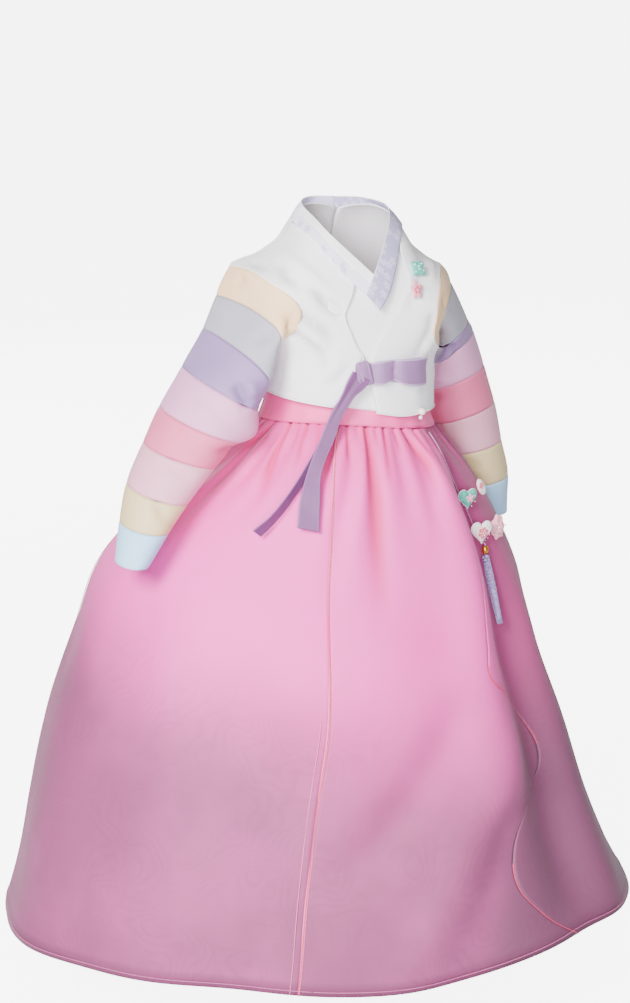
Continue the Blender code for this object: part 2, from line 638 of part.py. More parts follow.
# --- pieces -------------------------------------------------------------------------------
PINK = (0.88, 0.42, 0.62)
WAIST_PINK = (0.90, 0.38, 0.56)
UNDER_PINK = (0.92, 0.55, 0.70)
WHITE = (0.86, 0.86, 0.88)
PALE_LILAC = (0.78, 0.76, 0.86)
PURE_WHITE = (0.93, 0.93, 0.94)
RIBBON_LILAC = (0.50, 0.32, 0.54)
TEAL = (0.25, 0.66, 0.62)
ROSE_PINK = (0.85, 0.35, 0.45)
IVORY = (0.86, 0.82, 0.80)
PEARL = (0.88, 0.80, 0.80)
GOLD = (0.75, 0.50, 0.12)
PERIWINKLE = (0.42, 0.38, 0.68)
STRIPE_COLORS = {
    "cream": (0.85, 0.72, 0.56),
    "mist": (0.60, 0.63, 0.70),
    "lavender": (0.52, 0.43, 0.66),
    "lilac": (0.82, 0.66, 0.80),
    "rose": (0.86, 0.32, 0.46),
    "blush": (0.82, 0.52, 0.62),
    "butter": (0.87, 0.78, 0.58),
    "sky": (0.60, 0.78, 0.86),
}


def seam_pair(rows_a, rows_b, share, drop):
    """Turn at a share of the way between two seams, each panel stopping half a gap short."""
    low, high = through(rows_a, drop)[0], through(rows_b, drop)[0]
    radius = 0.09 + 0.2 * drop
    gap = math.degrees(SEAM_GAP / 2 / radius) * 1.6
    low, high = low + gap, high - gap
    return low + (high - low) * share


def build_skirt(collection):
    """Five skirt panels, the waistband and the sheer skirt's opaque under-layer."""
    once_round = [(drop, turn + 360) for drop, turn in FRONT_SEAM]
    panels = (
        ("skirt_front_left_panel", FRONT_SEAM, LEFT_SEAM, 5),
        ("skirt_side_left_panel", LEFT_SEAM, BACK_LEFT_SEAM, 6),
        ("skirt_back_left_panel", BACK_LEFT_SEAM, BACK_SEAM, 5),
        ("skirt_back_right_panel", BACK_SEAM, BACK_RIGHT_SEAM, 6),
        ("skirt_front_right_panel", BACK_RIGHT_SEAM, once_round, 8),
    )
    for name, low, high, pleats in panels:
        spans = pleats * COLUMNS_PER_PLEAT
        shares = [i / spans for i in range(spans + 1)]

        def surface(share, drop, low=low, high=high):
            return skirt_point(seam_pair(low, high, share, drop), drop)

        wall(name, collection, PINK, surface, shares, SKIRT_ROWS, SKIRT_CLOTH)
    turns = [360 * i / LINING_COLUMNS for i in range(LINING_COLUMNS)]
    wall("skirt_lining", collection, UNDER_PINK,
         lining_point, turns, LINING_ROWS, LINING_CLOTH, closed=True)
    turns = [360 * i / BAND_COLUMNS for i in range(BAND_COLUMNS)]
    wall("skirt_waistband", collection, WAIST_PINK, band_point, turns,
         [row[0] for row in reversed(BAND_REACH)], SKIRT_CLOTH, closed=True)


def build_panel(name, collection, color, near, far, side, front, lift=0.0):
    """A jacket panel between two edges: share of its height, turn and drop in each row."""
    def surface(share, down):
        start, end = through(near, down), through(far, down)
        if not front:
            start[0] = max(start[0], SEAM_TURN)
        turn, drop = start + (end - start) * share
        return torso_point(side * turn, max(drop, 0.0), front, lift)

    shares = [i / PANEL_COLUMNS for i in range(PANEL_COLUMNS + 1)]
    outward = side if front else -side
    wall(name, collection, color, surface, shares, [row[0] for row in far], JACKET_CLOTH, outward=outward)


def edge_rows(rows, turn_sign=1, turn_gap=0.0):
    """A panel's inner edge: share of its height, turn and drop, clear of the shoulder seam."""
    count = len(rows) - 1
    return [(i / count, turn_sign * turn + turn_gap, max(drop, SHOULDER_SEAM_DROP))
            for i, (turn, drop) in enumerate(rows)]


def side_rows(side, front):
    """A panel's outer edge: share of its height, turn and drop, with the sleeve's own columns."""
    rows = []
    for i in range(SLEEVE_HALF_COLUMNS + 1):
        turn = 180 * i / SLEEVE_HALF_COLUMNS
        angle, drop, _ = armhole_place(side, turn if front else 360 - turn)
        rows.append((ARMHOLE_END * i / SLEEVE_HALF_COLUMNS, angle - SEAM_TURN,
                     max(drop, SHOULDER_SEAM_DROP) + ARMPIT_SEAM_DROP * smoothstep(0.9, 1.3, drop)))
    return rows + [(share, turn - SEAM_TURN, drop) for share, turn, drop in SIDE_SEAM]


def build_jacket(collection):
    """Two backs, two fronts and the inner front that crosses under them."""
    back_edge = edge_rows(BACK_NECK_EDGE, 1, SEAM_TURN)
    right_edge, left_edge = edge_rows(RIGHT_FRONT_EDGE, -1), edge_rows(LEFT_FRONT_EDGE)
    build_panel("jacket_right_front", collection, WHITE, right_edge, side_rows(-1, True), -1, True)
    build_panel("jacket_left_front", collection, WHITE, left_edge, side_rows(1, True), 1, True)
    build_panel("jacket_right_back", collection, WHITE, back_edge, side_rows(-1, False), -1, False)
    build_panel("jacket_left_back", collection, WHITE, back_edge, side_rows(1, False), 1, False)
    build_panel("jacket_inner_front", collection, WHITE, edge_rows(INNER_FRONT_EDGE),
                edge_rows(INNER_FRONT_FAR_EDGE), 1, True, INNER_FRONT_LIFT)


def build_collar(collection):
    """The two halves of the collar band and the white strip on the right half."""
    shares = [i / COLLAR_STEPS for i in range(COLLAR_STEPS + 1)]
    heights = (1.0, 0.5, 0.0)
    bands = (
        ("collar_right_band", PALE_LILAC, COLLAR_RIGHT_LOWER, COLLAR_RIGHT_UPPER, -1),
        ("collar_left_band", PALE_LILAC, COLLAR_LEFT_LOWER, COLLAR_LEFT_UPPER, 1),
    )
    for name, color, lower, upper, side in bands:
        wall(name, collection, color,
             lambda share, height, lower=lower, upper=upper: collar_point(lower, upper, share, height),
             shares, heights, COLLAR_CLOTH, outward=-side)

    def strip(share, height):
        along = STRIP_START + (STRIP_END - STRIP_START) * share
        point = collar_point(COLLAR_RIGHT_LOWER, COLLAR_RIGHT_UPPER, along, 1.02 - STRIP_SHARE * height)
        ahead = collar_point(COLLAR_RIGHT_LOWER, COLLAR_RIGHT_UPPER, along + 0.01, 0.8) - point
        low = collar_point(COLLAR_RIGHT_LOWER, COLLAR_RIGHT_UPPER, along, 0.2) - point
        outward = np.cross(ahead, low)
        return point - STRIP_LIFT * outward / np.linalg.norm(outward)

    wall("collar_white_strip", collection, PURE_WHITE, strip,
         [i / 9 for i in range(10)], (0.0, 0.5, 1.0), 0.0012, outward=-1)


def build_sleeves(collection):
    """Eight striped rings a sleeve, each its own piece."""
    count = 2 * SLEEVE_HALF_COLUMNS
    turns = [360 * i / count for i in range(count)]
    for side, word in ((-1, "right"), (1, "left")):
        for number, stripe in enumerate(STRIPES):
            gap = 0.010
            steps = [number + gap + (1 - 2 * gap) * i / SLEEVE_STEPS for i in range(SLEEVE_STEPS + 1)]
            sewn = (lambda turn, side=side: armhole_normal(side, turn)) if number == 0 else None
            wall(f"sleeve_{word}_{number + 1}_{stripe}", collection, STRIPE_COLORS[stripe],
                 lambda turn, along, side=side: sleeve_point(side, along, turn),
                 turns, steps, SLEEVE_CLOTH, closed=True, outward=-side, first_normal=sewn)


def build_ribbon(collection):
    """The tied ribbon: its knot, its loop to the left and its two tails."""
    steps = [i / RIBBON_LOOP_STEPS for i in range(RIBBON_LOOP_STEPS + 1)]
    wall("ribbon_loop", collection, RIBBON_LILAC, loop_point, steps, (0.0, 0.5, 1.0), RIBBON_CLOTH)
    steps = [i / TAIL_STEPS for i in range(TAIL_STEPS + 1)]
    for name, rows in (("ribbon_wide_tail", WIDE_TAIL), ("ribbon_thin_tail", THIN_TAIL)):
        wall(name, collection, RIBBON_LILAC, lambda width, along, rows=rows: tail_point(rows, along, width),
             (0.0, 0.5, 1.0), steps, RIBBON_CLOTH)
    centre = torso_point(KNOT_TURN, KNOT_DROP, True, KNOT_LIFT)
    frame = face_frame(torso_outward(centre), math.radians(-12))
    width, height, thickness = KNOT_SIZE
    pad("ribbon_knot", collection, RIBBON_LILAC, lobed_outline(width, height, 4, -0.12, 16, math.pi / 4),
        centre, frame, thickness)


def round_bead(name, collection, color, centre, radius, stretch=1.0, roughness=0.25, metallic=0.0):
    """A bead, longer along Z by stretch."""
    bm = bmesh.new()
    bmesh.ops.create_uvsphere(bm, u_segments=12, v_segments=8, radius=radius)
    bmesh.ops.scale(bm, vec=(1.0, 1.0, stretch), verts=bm.verts)
    bmesh.ops.translate(bm, vec=tuple(centre), verts=bm.verts)
    return link(bm, name, collection, color, roughness, metallic)


def build_chest_ornaments(collection):
    """A butterfly and a flower charm on the left front, and two beads at its hem."""
    butterfly = lobed_outline(0.0185, 0.0170, 4, 0.34, 24, math.pi / 4)
    charm = lobed_outline(0.0150, 0.0190, 5, 0.22, 24, math.pi / 2)
    for name, color, turn, drop, outline, lift in (
        ("chest_butterfly", TEAL, 18.6, 0.64, butterfly, 0.0028),
        ("chest_charm", ROSE_PINK, 16.6, 0.84, charm, 0.0026),
    ):
        centre = torso_point(turn, drop, True, lift)
        pad(name, collection, color, outline, centre, face_frame(torso_outward(centre)), 0.0036)
    pearl = torso_point(PEARL_TURN, PEARL_DROP, True, PEARL_RADIUS + SEAM_GAP)
    round_bead("hem_pearl", collection, PEARL, pearl, PEARL_RADIUS)
    bead = pearl - np.array([0.0015, 0.0, PEARL_RADIUS + BEAD_RADIUS + SEAM_GAP])
    round_bead("hem_bead", collection, PEARL, bead, BEAD_RADIUS)


def on_skirt(turn, drop, lift):
    """A point lifted off the skirt's smooth form."""
    return skirt_point(turn, drop, -lift, 0.0)


def bead_end(below):
    """The point just past the norigae bead's upper or lower end."""
    half_height = NORIGAE_BEAD_RADIUS * NORIGAE_BEAD_STRETCH + BEAD_END_GAP
    return on_skirt(*NORIGAE_BEAD_SPOT) + np.array([0.0, 0.0, -half_height if below else half_height])


def build_tassel(collection):
    """The tassel: a head with its strands' roots fused into it."""
    top, tip = bead_end(below=True), on_skirt(*TASSEL_TIP)
    axis = (tip - top) / np.linalg.norm(tip - top)
    across = np.cross(axis, (0.0, 0.0, 1.0))
    across /= np.linalg.norm(across)
    outward = np.cross(axis, across)

    def lathe(profile, sides, centre_line):
        bm = bmesh.new()
        rings = []
        for radius, along in profile:
            middle = centre_line(along)
            rings.append([bm.verts.new(middle + radius * (math.cos(a) * across + math.sin(a) * outward))
                          for a in (2 * math.pi * (i + 0.5) / sides for i in range(sides))])
        for low, high in zip(rings, rings[1:]):
            for i in range(sides):
                j = (i + 1) % sides
                bm.faces.new((low[i], low[j], high[j], high[i]))
        bm.faces.new(rings[0])
        bm.faces.new(rings[-1])
        bmesh.ops.recalc_face_normals(bm, faces=bm.faces)
        return bm

    radius, length = TASSEL_HEAD_RADIUS, TASSEL_HEAD_LENGTH
    profile = ((radius * 0.45, 0.0), (radius * 0.9, length * 0.25), (radius, length * 0.6),
               (radius * 0.95, length))
    head = lathe(profile, 14, lambda along: top + axis * along)
    tassel = link(head, "norigae_tassel", collection, PERIWINKLE, 0.5)

    strands = bmesh.new()
    reach = np.linalg.norm(tip - top)
    for count, ring_radius in STRAND_RINGS:
        for i in range(count):
            angle = 2 * math.pi * (i + 0.25 * count) / count
            root = ring_radius * (math.cos(angle) * across + math.sin(angle) * outward)
            sway = 0.35 * math.sin(1.7 * i + count)
            end = reach * (1 - 0.05 * (0.5 + 0.5 * math.sin(2.3 * i + count)))

            def line(along, root=root, sway=sway):
                spread = 1.0 + 0.12 * math.sin(along / reach * math.pi)
                return top + axis * along + spread * root + sway * 0.0008 * across * along / reach

            half = STRAND_WIDTH / 2
            rows = [(half, length * 0.7), (half, reach * 0.4), (half, reach * 0.7), (half * 0.8, end)]
            strand = lathe(rows, STRAND_SIDES, line)
            mesh = bpy.data.meshes.new("strand")
            strand.to_mesh(mesh)
            strand.free()
            strands.from_mesh(mesh)
            bpy.data.meshes.remove(mesh)
    cutters = bpy.data.collections.new("joined_into_others")
    bpy.context.scene.collection.children.link(cutters)
    roots = link(strands, "tassel_strands", cutters, PERIWINKLE)
    roots.hide_render = True
    roots.display_type = "WIRE"
    union = tassel.modifiers.new("strands", "BOOLEAN")
    union.operation = "UNION"
    union.object = roots


def build_norigae(collection):
    """The hanging ornament at the left side: cord, padded charms, bead and tassel."""
    curve = bpy.data.curves.new("norigae_cord", "CURVE")
    curve.dimensions = "3D"
    curve.bevel_depth = CORD_DIAMETER / 2
    curve.bevel_resolution = 2
    curve.use_fill_caps = True
    spline = curve.splines.new("POLY")
    route = [on_skirt(*row) for row in CORD_ROUTE] + [bead_end(below=False)]
    rows = [(i / (len(route) - 1), *point) for i, point in enumerate(route)]
    points = [through(rows, i / CORD_STEPS) for i in range(CORD_STEPS + 1)]
    spline.points.add(len(points) - 1)
    for spot, point in zip(spline.points, points):
        spot.co = (*point, 1.0)
    curve.materials.append(finish_material("norigae_cord", PERIWINKLE, 0.6))
    collection.objects.link(bpy.data.objects.new("norigae_cord", curve))

    wing = lobed_outline(0.0115, 0.0230, 1, 0.25, 18)
    rosette = lobed_outline(0.0165, 0.0270, 7, 0.16, 28)
    charms = (
        ("norigae_heart", TEAL, heart_outline(0.0225), (65.3, 0.139, 0.0122), 32, 0.0, 0.0050),
        ("norigae_wing", IVORY, wing, (80.0, 0.127, 0.0050), 32, 0.6, 0.0040),
        ("norigae_lower_heart", IVORY, heart_outline(0.0255), (65.0, 0.2050, 0.0119), 32, 0.0, 0.0055),
        ("norigae_rosette", ROSE_PINK, rosette, (75.0, 0.203, 0.0082), 40, 0.0, 0.0060),
    )
    for name, color, outline, spot, lean, tilt, thickness in charms:
        frame = face_frame(skirt_outward(spot[0], spot[1], lean), tilt)
        pad(name, collection, color, outline, on_skirt(*spot), frame, thickness)
    round_bead("norigae_bead", collection, GOLD, on_skirt(*NORIGAE_BEAD_SPOT), NORIGAE_BEAD_RADIUS,
               NORIGAE_BEAD_STRETCH, 0.3, 1.0)
    build_tassel(collection)


def main():
    """Build every piece in the garment's collection."""
    for obj in list(bpy.data.objects):
        bpy.data.objects.remove(obj)
    collection = bpy.data.collections.new(COLLECTION)
    bpy.context.scene.collection.children.link(collection)
    build_skirt(collection)
    build_jacket(collection)
    build_collar(collection)
    build_sleeves(collection)
    build_ribbon(collection)
    build_chest_ornaments(collection)
    build_norigae(collection)


if __name__ == "__main__":
    main()
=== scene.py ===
"""Dressed model of a small girl's hanbok: a striped-sleeve jacket over a full gathered skirt.

Metres, +Z up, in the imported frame: the origin is the middle of the neck's base, the front faces
-Y and +X is the wearer's left. The sleeves, the skirt and the ribbon's tails are laid out in a
frame turned by POSE_TURN about +Z: across (to the left), depth (to the back), up.
"""

import logging
import math
from dataclasses import dataclass
from enum import Enum
from typing import Callable, Iterable, Sequence

import bmesh
import bpy
import numpy as np
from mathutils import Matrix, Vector

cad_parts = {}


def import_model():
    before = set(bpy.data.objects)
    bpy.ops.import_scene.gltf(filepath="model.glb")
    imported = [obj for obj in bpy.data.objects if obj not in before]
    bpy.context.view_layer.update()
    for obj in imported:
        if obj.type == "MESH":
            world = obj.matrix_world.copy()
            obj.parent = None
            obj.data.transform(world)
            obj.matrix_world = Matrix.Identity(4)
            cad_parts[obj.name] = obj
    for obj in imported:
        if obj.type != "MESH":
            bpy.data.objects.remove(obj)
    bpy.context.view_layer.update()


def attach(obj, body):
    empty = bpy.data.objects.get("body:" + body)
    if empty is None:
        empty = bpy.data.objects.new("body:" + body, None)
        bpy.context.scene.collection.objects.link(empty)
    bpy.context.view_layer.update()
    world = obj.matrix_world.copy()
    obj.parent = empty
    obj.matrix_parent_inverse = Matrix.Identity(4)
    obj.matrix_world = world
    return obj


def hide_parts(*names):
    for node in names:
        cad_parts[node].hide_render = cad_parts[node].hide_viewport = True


LOG = logging.getLogger("hanbok")
Array = np.ndarray
Rows = Sequence[Sequence[float]]
Place = Callable[[float, float], Array]
Socket = bpy.types.NodeSocket
GroupBuilder = Callable[["Effects"], bpy.types.NodeTree]

BODY = "root"
VECTOR, NUMBER = "NodeSocketVector", "NodeSocketFloat"
GATHER_ALLOWANCE = 1.15
SHORTEST_CUT = 0.0102
POSE_TURN = math.radians(-15.0)
STRIPES = ("cream", "mist", "lavender", "lilac", "rose", "blush", "butter", "sky")


class Side(Enum):
    """A side of the wearer, with the sign of X there."""

    RIGHT = -1
    LEFT = 1


class Held(Enum):
    """How a cloth is held."""

    HUNG = "hung"
    GATHERED = "gathered"
    DRAPED = "draped"
    FOLDED = "folded"


# --- curves and surfaces ------------------------------------------------------------------
class Table:
    """A smooth curve through the rows of a table, read by its first column."""

    def __init__(self, keys: Iterable[float], values: Array) -> None:
        """Keep the rows in order of their keys.

        Args:
            keys: one number for each row.
            values: an array with a row for each key.
        """
        order = np.argsort(np.asarray(keys, float), kind="stable")
        self.keys = np.asarray(keys, float)[order]
        self.values = np.asarray(values, float)[order]
        self.slopes = np.gradient(self.values, self.keys, axis=0)

    @classmethod
    def of(cls, rows: Rows) -> "Table":
        """A table from rows whose first column is the key."""
        table = np.asarray(rows, float)
        return cls(table[:, 0], table[:, 1:])

    def at(self, where: Array | float) -> Array:
        """Values at the given keys.

        Args:
            where: keys of any shape, held to the table's range.

        Returns:
            An array of the shape of where, with the columns' own shape added.
        """
        where = np.clip(np.asarray(where, float), self.keys[0], self.keys[-1])
        i = np.clip(np.searchsorted(self.keys, where) - 1, 0, len(self.keys) - 2)
        width = self.keys[i + 1] - self.keys[i]
        shape = where.shape + (1,) * (self.values.ndim - 1)
        f = ((where - self.keys[i]) / width).reshape(shape)
        width = width.reshape(shape)
        return ((2 * f ** 3 - 3 * f ** 2 + 1) * self.values[i]
                + (f ** 3 - 2 * f ** 2 + f) * width * self.slopes[i]
                + (3 * f ** 2 - 2 * f ** 3) * self.values[i + 1]
                + (f ** 3 - f ** 2) * width * self.slopes[i + 1])


def smoothstep(low: float, high: float, value: Array | float) -> Array:
    """0 below low, 1 above high and a soft rise between them."""
    f = np.clip((np.asarray(value, float) - low) / (high - low), 0.0, 1.0)
    return f * f * (3 - 2 * f)


def posed(across: Array | float, depth: Array | float, up: Array | float) -> Array:
    """Points of the turned frame in the garment's frame."""
    across, depth, up = np.broadcast_arrays(across, depth, up)
    cosine, sine = math.cos(POSE_TURN), math.sin(POSE_TURN)
    return np.stack([across * cosine - depth * sine, across * sine + depth * cosine, up], axis=-1)


def unit(vectors: Array) -> Array:
    """The vectors at length one."""
    return vectors / np.maximum(np.linalg.norm(vectors, axis=-1, keepdims=True), 1e-12)


def even(count: int) -> Array:
    """Numbers from 0 to 1 in equal steps."""
    return np.linspace(0.0, 1.0, count + 1)


@dataclass(frozen=True)
class Fold:
    """A soft ridge, or a trough where height is negative, along a short path on a cloth.

    The path is in the surface's own two coordinates; start and end are the shares of the path
    over which it fades, and spread is how much wider its far end is.
    """

    path: tuple[tuple[float, float], ...]
    width: float
    height: float
    start: float = 0.3
    end: float = 0.4
    spread: float = 1.0

    def push(self, points: Array, place: Place) -> Array:
        """Outward push of this fold at the points, placed on the surface by place."""
        ends = np.array([place(*spot) for spot in self.path])
        lengths = np.linalg.norm(np.diff(ends, axis=0), axis=1)
        nearest = np.full(points.shape[:-1], np.inf)
        share = np.zeros(points.shape[:-1])
        done = 0.0
        for a, b, length in zip(ends, ends[1:], lengths):
            t = np.clip((points - a) @ (b - a) / length ** 2, 0, 1)
            away = np.linalg.norm(points - (a + t[..., None] * (b - a)), axis=-1)
            share = np.where(away < nearest, (done + t * length) / lengths.sum(), share)
            nearest = np.minimum(nearest, away)
            done += length
        fade = smoothstep(0, max(self.start, 1e-6), share + (self.start == 0)) \
            * smoothstep(0, max(self.end, 1e-6), 1 - share + (self.end == 0))
        width = self.width * (1 + (self.spread - 1) * share)
        return self.height * fade * np.exp(-(nearest / width) ** 2)


def ripple(points: Array, length: float, height: float, phase: float = 0.0) -> Array:
    """A gentle uneven push, so that no cloth is perfectly smooth."""
    waves = ((0.9, 0.3, 0.5), (-0.4, 0.8, 0.7), (0.5, -0.6, 1.1))
    total = sum(np.sin(points @ (np.array(w) * 2 * math.pi / length) + phase + 1.9 * i)
                for i, w in enumerate(waves))
    return height * total / len(waves)


# --- cloth meshes -------------------------------------------------------------------------
@dataclass
class Cloth:
    """A thin two-sided shell on a grid of points: rows run down, columns along."""

    name: str
    points: Array
    closed: bool = False
    outward: float = 1.0
    thickness: float = 0.0009
    depth: Array | None = None

    def normals(self) -> Array:
        """Outward directions at the grid's points."""
        if self.closed:
            along = np.roll(self.points, -1, axis=1) - np.roll(self.points, 1, axis=1)
        else:
            along = np.gradient(self.points, axis=1)
        return unit(np.cross(np.gradient(self.points, axis=0), along)) * self.outward

    def pushed(self, push: Array) -> "Cloth":
        """Move the points outward by push, and keep how deep the troughs are."""
        self.depth = -push if self.depth is None else self.depth - push
        self.points = self.points + push[..., None] * self.normals()
        return self

    def folded(self, folds: Sequence[Fold], place: Place) -> "Cloth":
        """Press the folds into the cloth."""
        if folds:
            self.pushed(sum(fold.push(self.points, place) for fold in folds))
        return self

    def measure(self) -> tuple[float, float, float]:
        """Width, length and area of the outer face."""
        grid = self.points
        ring = np.concatenate([grid, grid[:, :1]], axis=1) if self.closed else grid
        width = np.linalg.norm(np.diff(ring, axis=1), axis=2).sum(axis=1).max()
        length = np.linalg.norm(np.diff(grid, axis=0), axis=2).sum(axis=0).mean()
        a, b = ring[1:, :-1] - ring[:-1, :-1], ring[:-1, 1:] - ring[:-1, :-1]
        area = np.linalg.norm(np.cross(a, b), axis=2).sum()
        return float(width), float(length), float(area)

    def build(self, material: bpy.types.Material) -> bpy.types.Object:
        """Make the object, with its lengths in the UV map metres and its shares in share."""
        rows, columns = self.points.shape[:2]
        spans = columns if self.closed else columns - 1
        inner = self.points - self.thickness * self.normals()
        verts = np.concatenate([self.points.reshape(-1, 3), inner.reshape(-1, 3)])
        r, c = (a.ravel() for a in np.meshgrid(np.arange(rows - 1), np.arange(spans), indexing="ij"))
        face_rows = [np.stack([r, r + 1, r + 1, r], 1)] * 2
        face_cols = [np.stack([c, c, c + 1, c + 1], 1)] * 2
        layers = [np.zeros((len(r), 4), int), np.ones((len(r), 4), int)]
        s = np.arange(spans)
        for row in (0, rows - 1):
            face_rows.append(np.full((spans, 4), row))
            face_cols.append(np.stack([s, s + 1, s + 1, s], 1))
            layers.append(np.tile([0, 0, 1, 1], (spans, 1)))
        if not self.closed:
            q = np.arange(rows - 1)
            for column in (0, columns - 1):
                face_rows.append(np.stack([q, q + 1, q + 1, q], 1))
                face_cols.append(np.full((rows - 1, 4), column))
                layers.append(np.tile([0, 0, 1, 1], (rows - 1, 1)))
        fr, fc, fl = (np.concatenate(part) for part in (face_rows, face_cols, layers))
        faces = fl * rows * columns + fr * columns + fc % columns
        mesh = bpy.data.meshes.new(self.name)
        mesh.from_pydata(verts.tolist(), [], faces.tolist())
        ring = np.concatenate([self.points, self.points[:, :1]], axis=1) if self.closed else self.points
        steps = np.linalg.norm(np.diff(ring, axis=1), axis=2)
        across = np.concatenate([[0], np.cumsum(steps[steps.sum(axis=1).argmax()])])
        falls = np.linalg.norm(np.diff(self.points, axis=0), axis=2).mean(axis=1)
        down = np.concatenate([[0], np.cumsum(falls)])
        for name, u, v in (("metres", across, down), ("share", np.arange(spans + 1) / spans,
                                                      np.arange(rows) / (rows - 1))):
            layer = mesh.uv_layers.new(name=name)
            layer.data.foreach_set("uv", np.stack([u[fc], v[fr]], -1).ravel())
        # The fold attribute holds how deep each point lies in a trough, which the finishes turn into painted
        # crease shade; the skirt also stores its painted side shade in it.
        depth = np.zeros((rows, columns)) if self.depth is None else self.depth
        spot = mesh.attributes.new("fold", "FLOAT", "POINT")
        spot.data.foreach_set("value", np.tile(depth.ravel(), 2).astype(np.float32))
        return finished(mesh, self.name, material)


def finished(mesh: bpy.types.Mesh, name: str, material: bpy.types.Material) -> bpy.types.Object:
    """Turn a mesh into a smooth object with outward faces."""
    bm = bmesh.new()
    bm.from_mesh(mesh)
    bmesh.ops.recalc_face_normals(bm, faces=bm.faces)
    bm.to_mesh(mesh)
    bm.free()
    mesh.shade_smooth()
    mesh.materials.append(material)
    obj = bpy.data.objects.new(name, mesh)
    bpy.context.scene.collection.objects.link(obj)
    return obj


class Bag:
    """Gathers many small closed shapes into one mesh."""

    def __init__(self) -> None:
        """Start empty."""
        self.points: list[Array] = []
        self.faces: list[list[int]] = []
        self.count = 0

    def add(self, points: Array, faces: Iterable[Sequence[int]]) -> None:
        """Add one shape by its points and faces."""
        self.faces += [[int(i) + self.count for i in face] for face in faces]
        self.points.append(points)
        self.count += len(points)

    def rings(self, grid: Array) -> None:
        """Add a closed tube through a grid of rings, with its two ends filled."""
        rows, sides = grid.shape[:2]
        faces = [(r * sides + i, (r + 1) * sides + i, (r + 1) * sides + (i + 1) % sides,
                  r * sides + (i + 1) % sides) for r in range(rows - 1) for i in range(sides)]
        faces += [tuple(range(sides)), tuple((rows - 1) * sides + i for i in range(sides))]
        self.add(grid.reshape(-1, 3), faces)

    def tube(self, path: Array, radius: float | Array, sides: int = 6, flat: float = 1.0,
             up: Sequence[float] = (0.0, 0.0, 1.0)) -> None:
        """Add a tube along a path; flat squeezes it in the direction across up.

        Args:
            path: the points of its middle line.
            radius: one radius, or one for each point.
            sides: its number of sides.
            flat: its thickness as a share of its width.
            up: the direction its first axis leans to.
        """
        path = np.asarray(path, float)
        axis = unit(np.gradient(path, axis=0))
        first = unit(np.cross(axis, np.broadcast_to(up, axis.shape)) + 1e-9)
        second = np.cross(axis, first)
        turn = 2 * math.pi * np.arange(sides) / sides
        reach = np.broadcast_to(radius, (len(path),))[:, None, None]
        grid = path[:, None] + reach * (np.cos(turn)[None, :, None] * first[:, None]
                                        + flat * np.sin(turn)[None, :, None] * second[:, None])
        self.rings(grid)

    def ball(self, centre: Array, axes: Array, rings: int = 6, sides: int = 10) -> None:
        """Add an ellipsoid with the given half axes, one a row."""
        tilt = math.pi * (np.arange(rings) + 0.5) / rings
        turn = 2 * math.pi * np.arange(sides) / sides
        x = np.sin(tilt)[:, None] * np.cos(turn)
        y = np.sin(tilt)[:, None] * np.sin(turn)
        z = np.repeat(np.cos(tilt)[:, None], sides, axis=1)
        self.rings(np.asarray(centre) + np.stack([x, y, z], -1) @ np.asarray(axes, float))

    def build(self, name: str, material: bpy.types.Material) -> bpy.types.Object:
        """Make one object of everything gathered."""
        mesh = bpy.data.meshes.new(name)
        mesh.from_pydata(np.concatenate(self.points).tolist(), [], self.faces)
        return finished(mesh, name, material)


# --- shader tools -------------------------------------------------------------------------
def tint(code: str) -> tuple[float, float, float, float]:
    """Linear colour of a six-figure screen colour."""
    parts = [int(code[i:i + 2], 16) / 255 for i in (0, 2, 4)]
    return (*(p / 12.92 if p <= 0.04045 else ((p + 0.055) / 1.055) ** 2.4 for p in parts), 1.0)


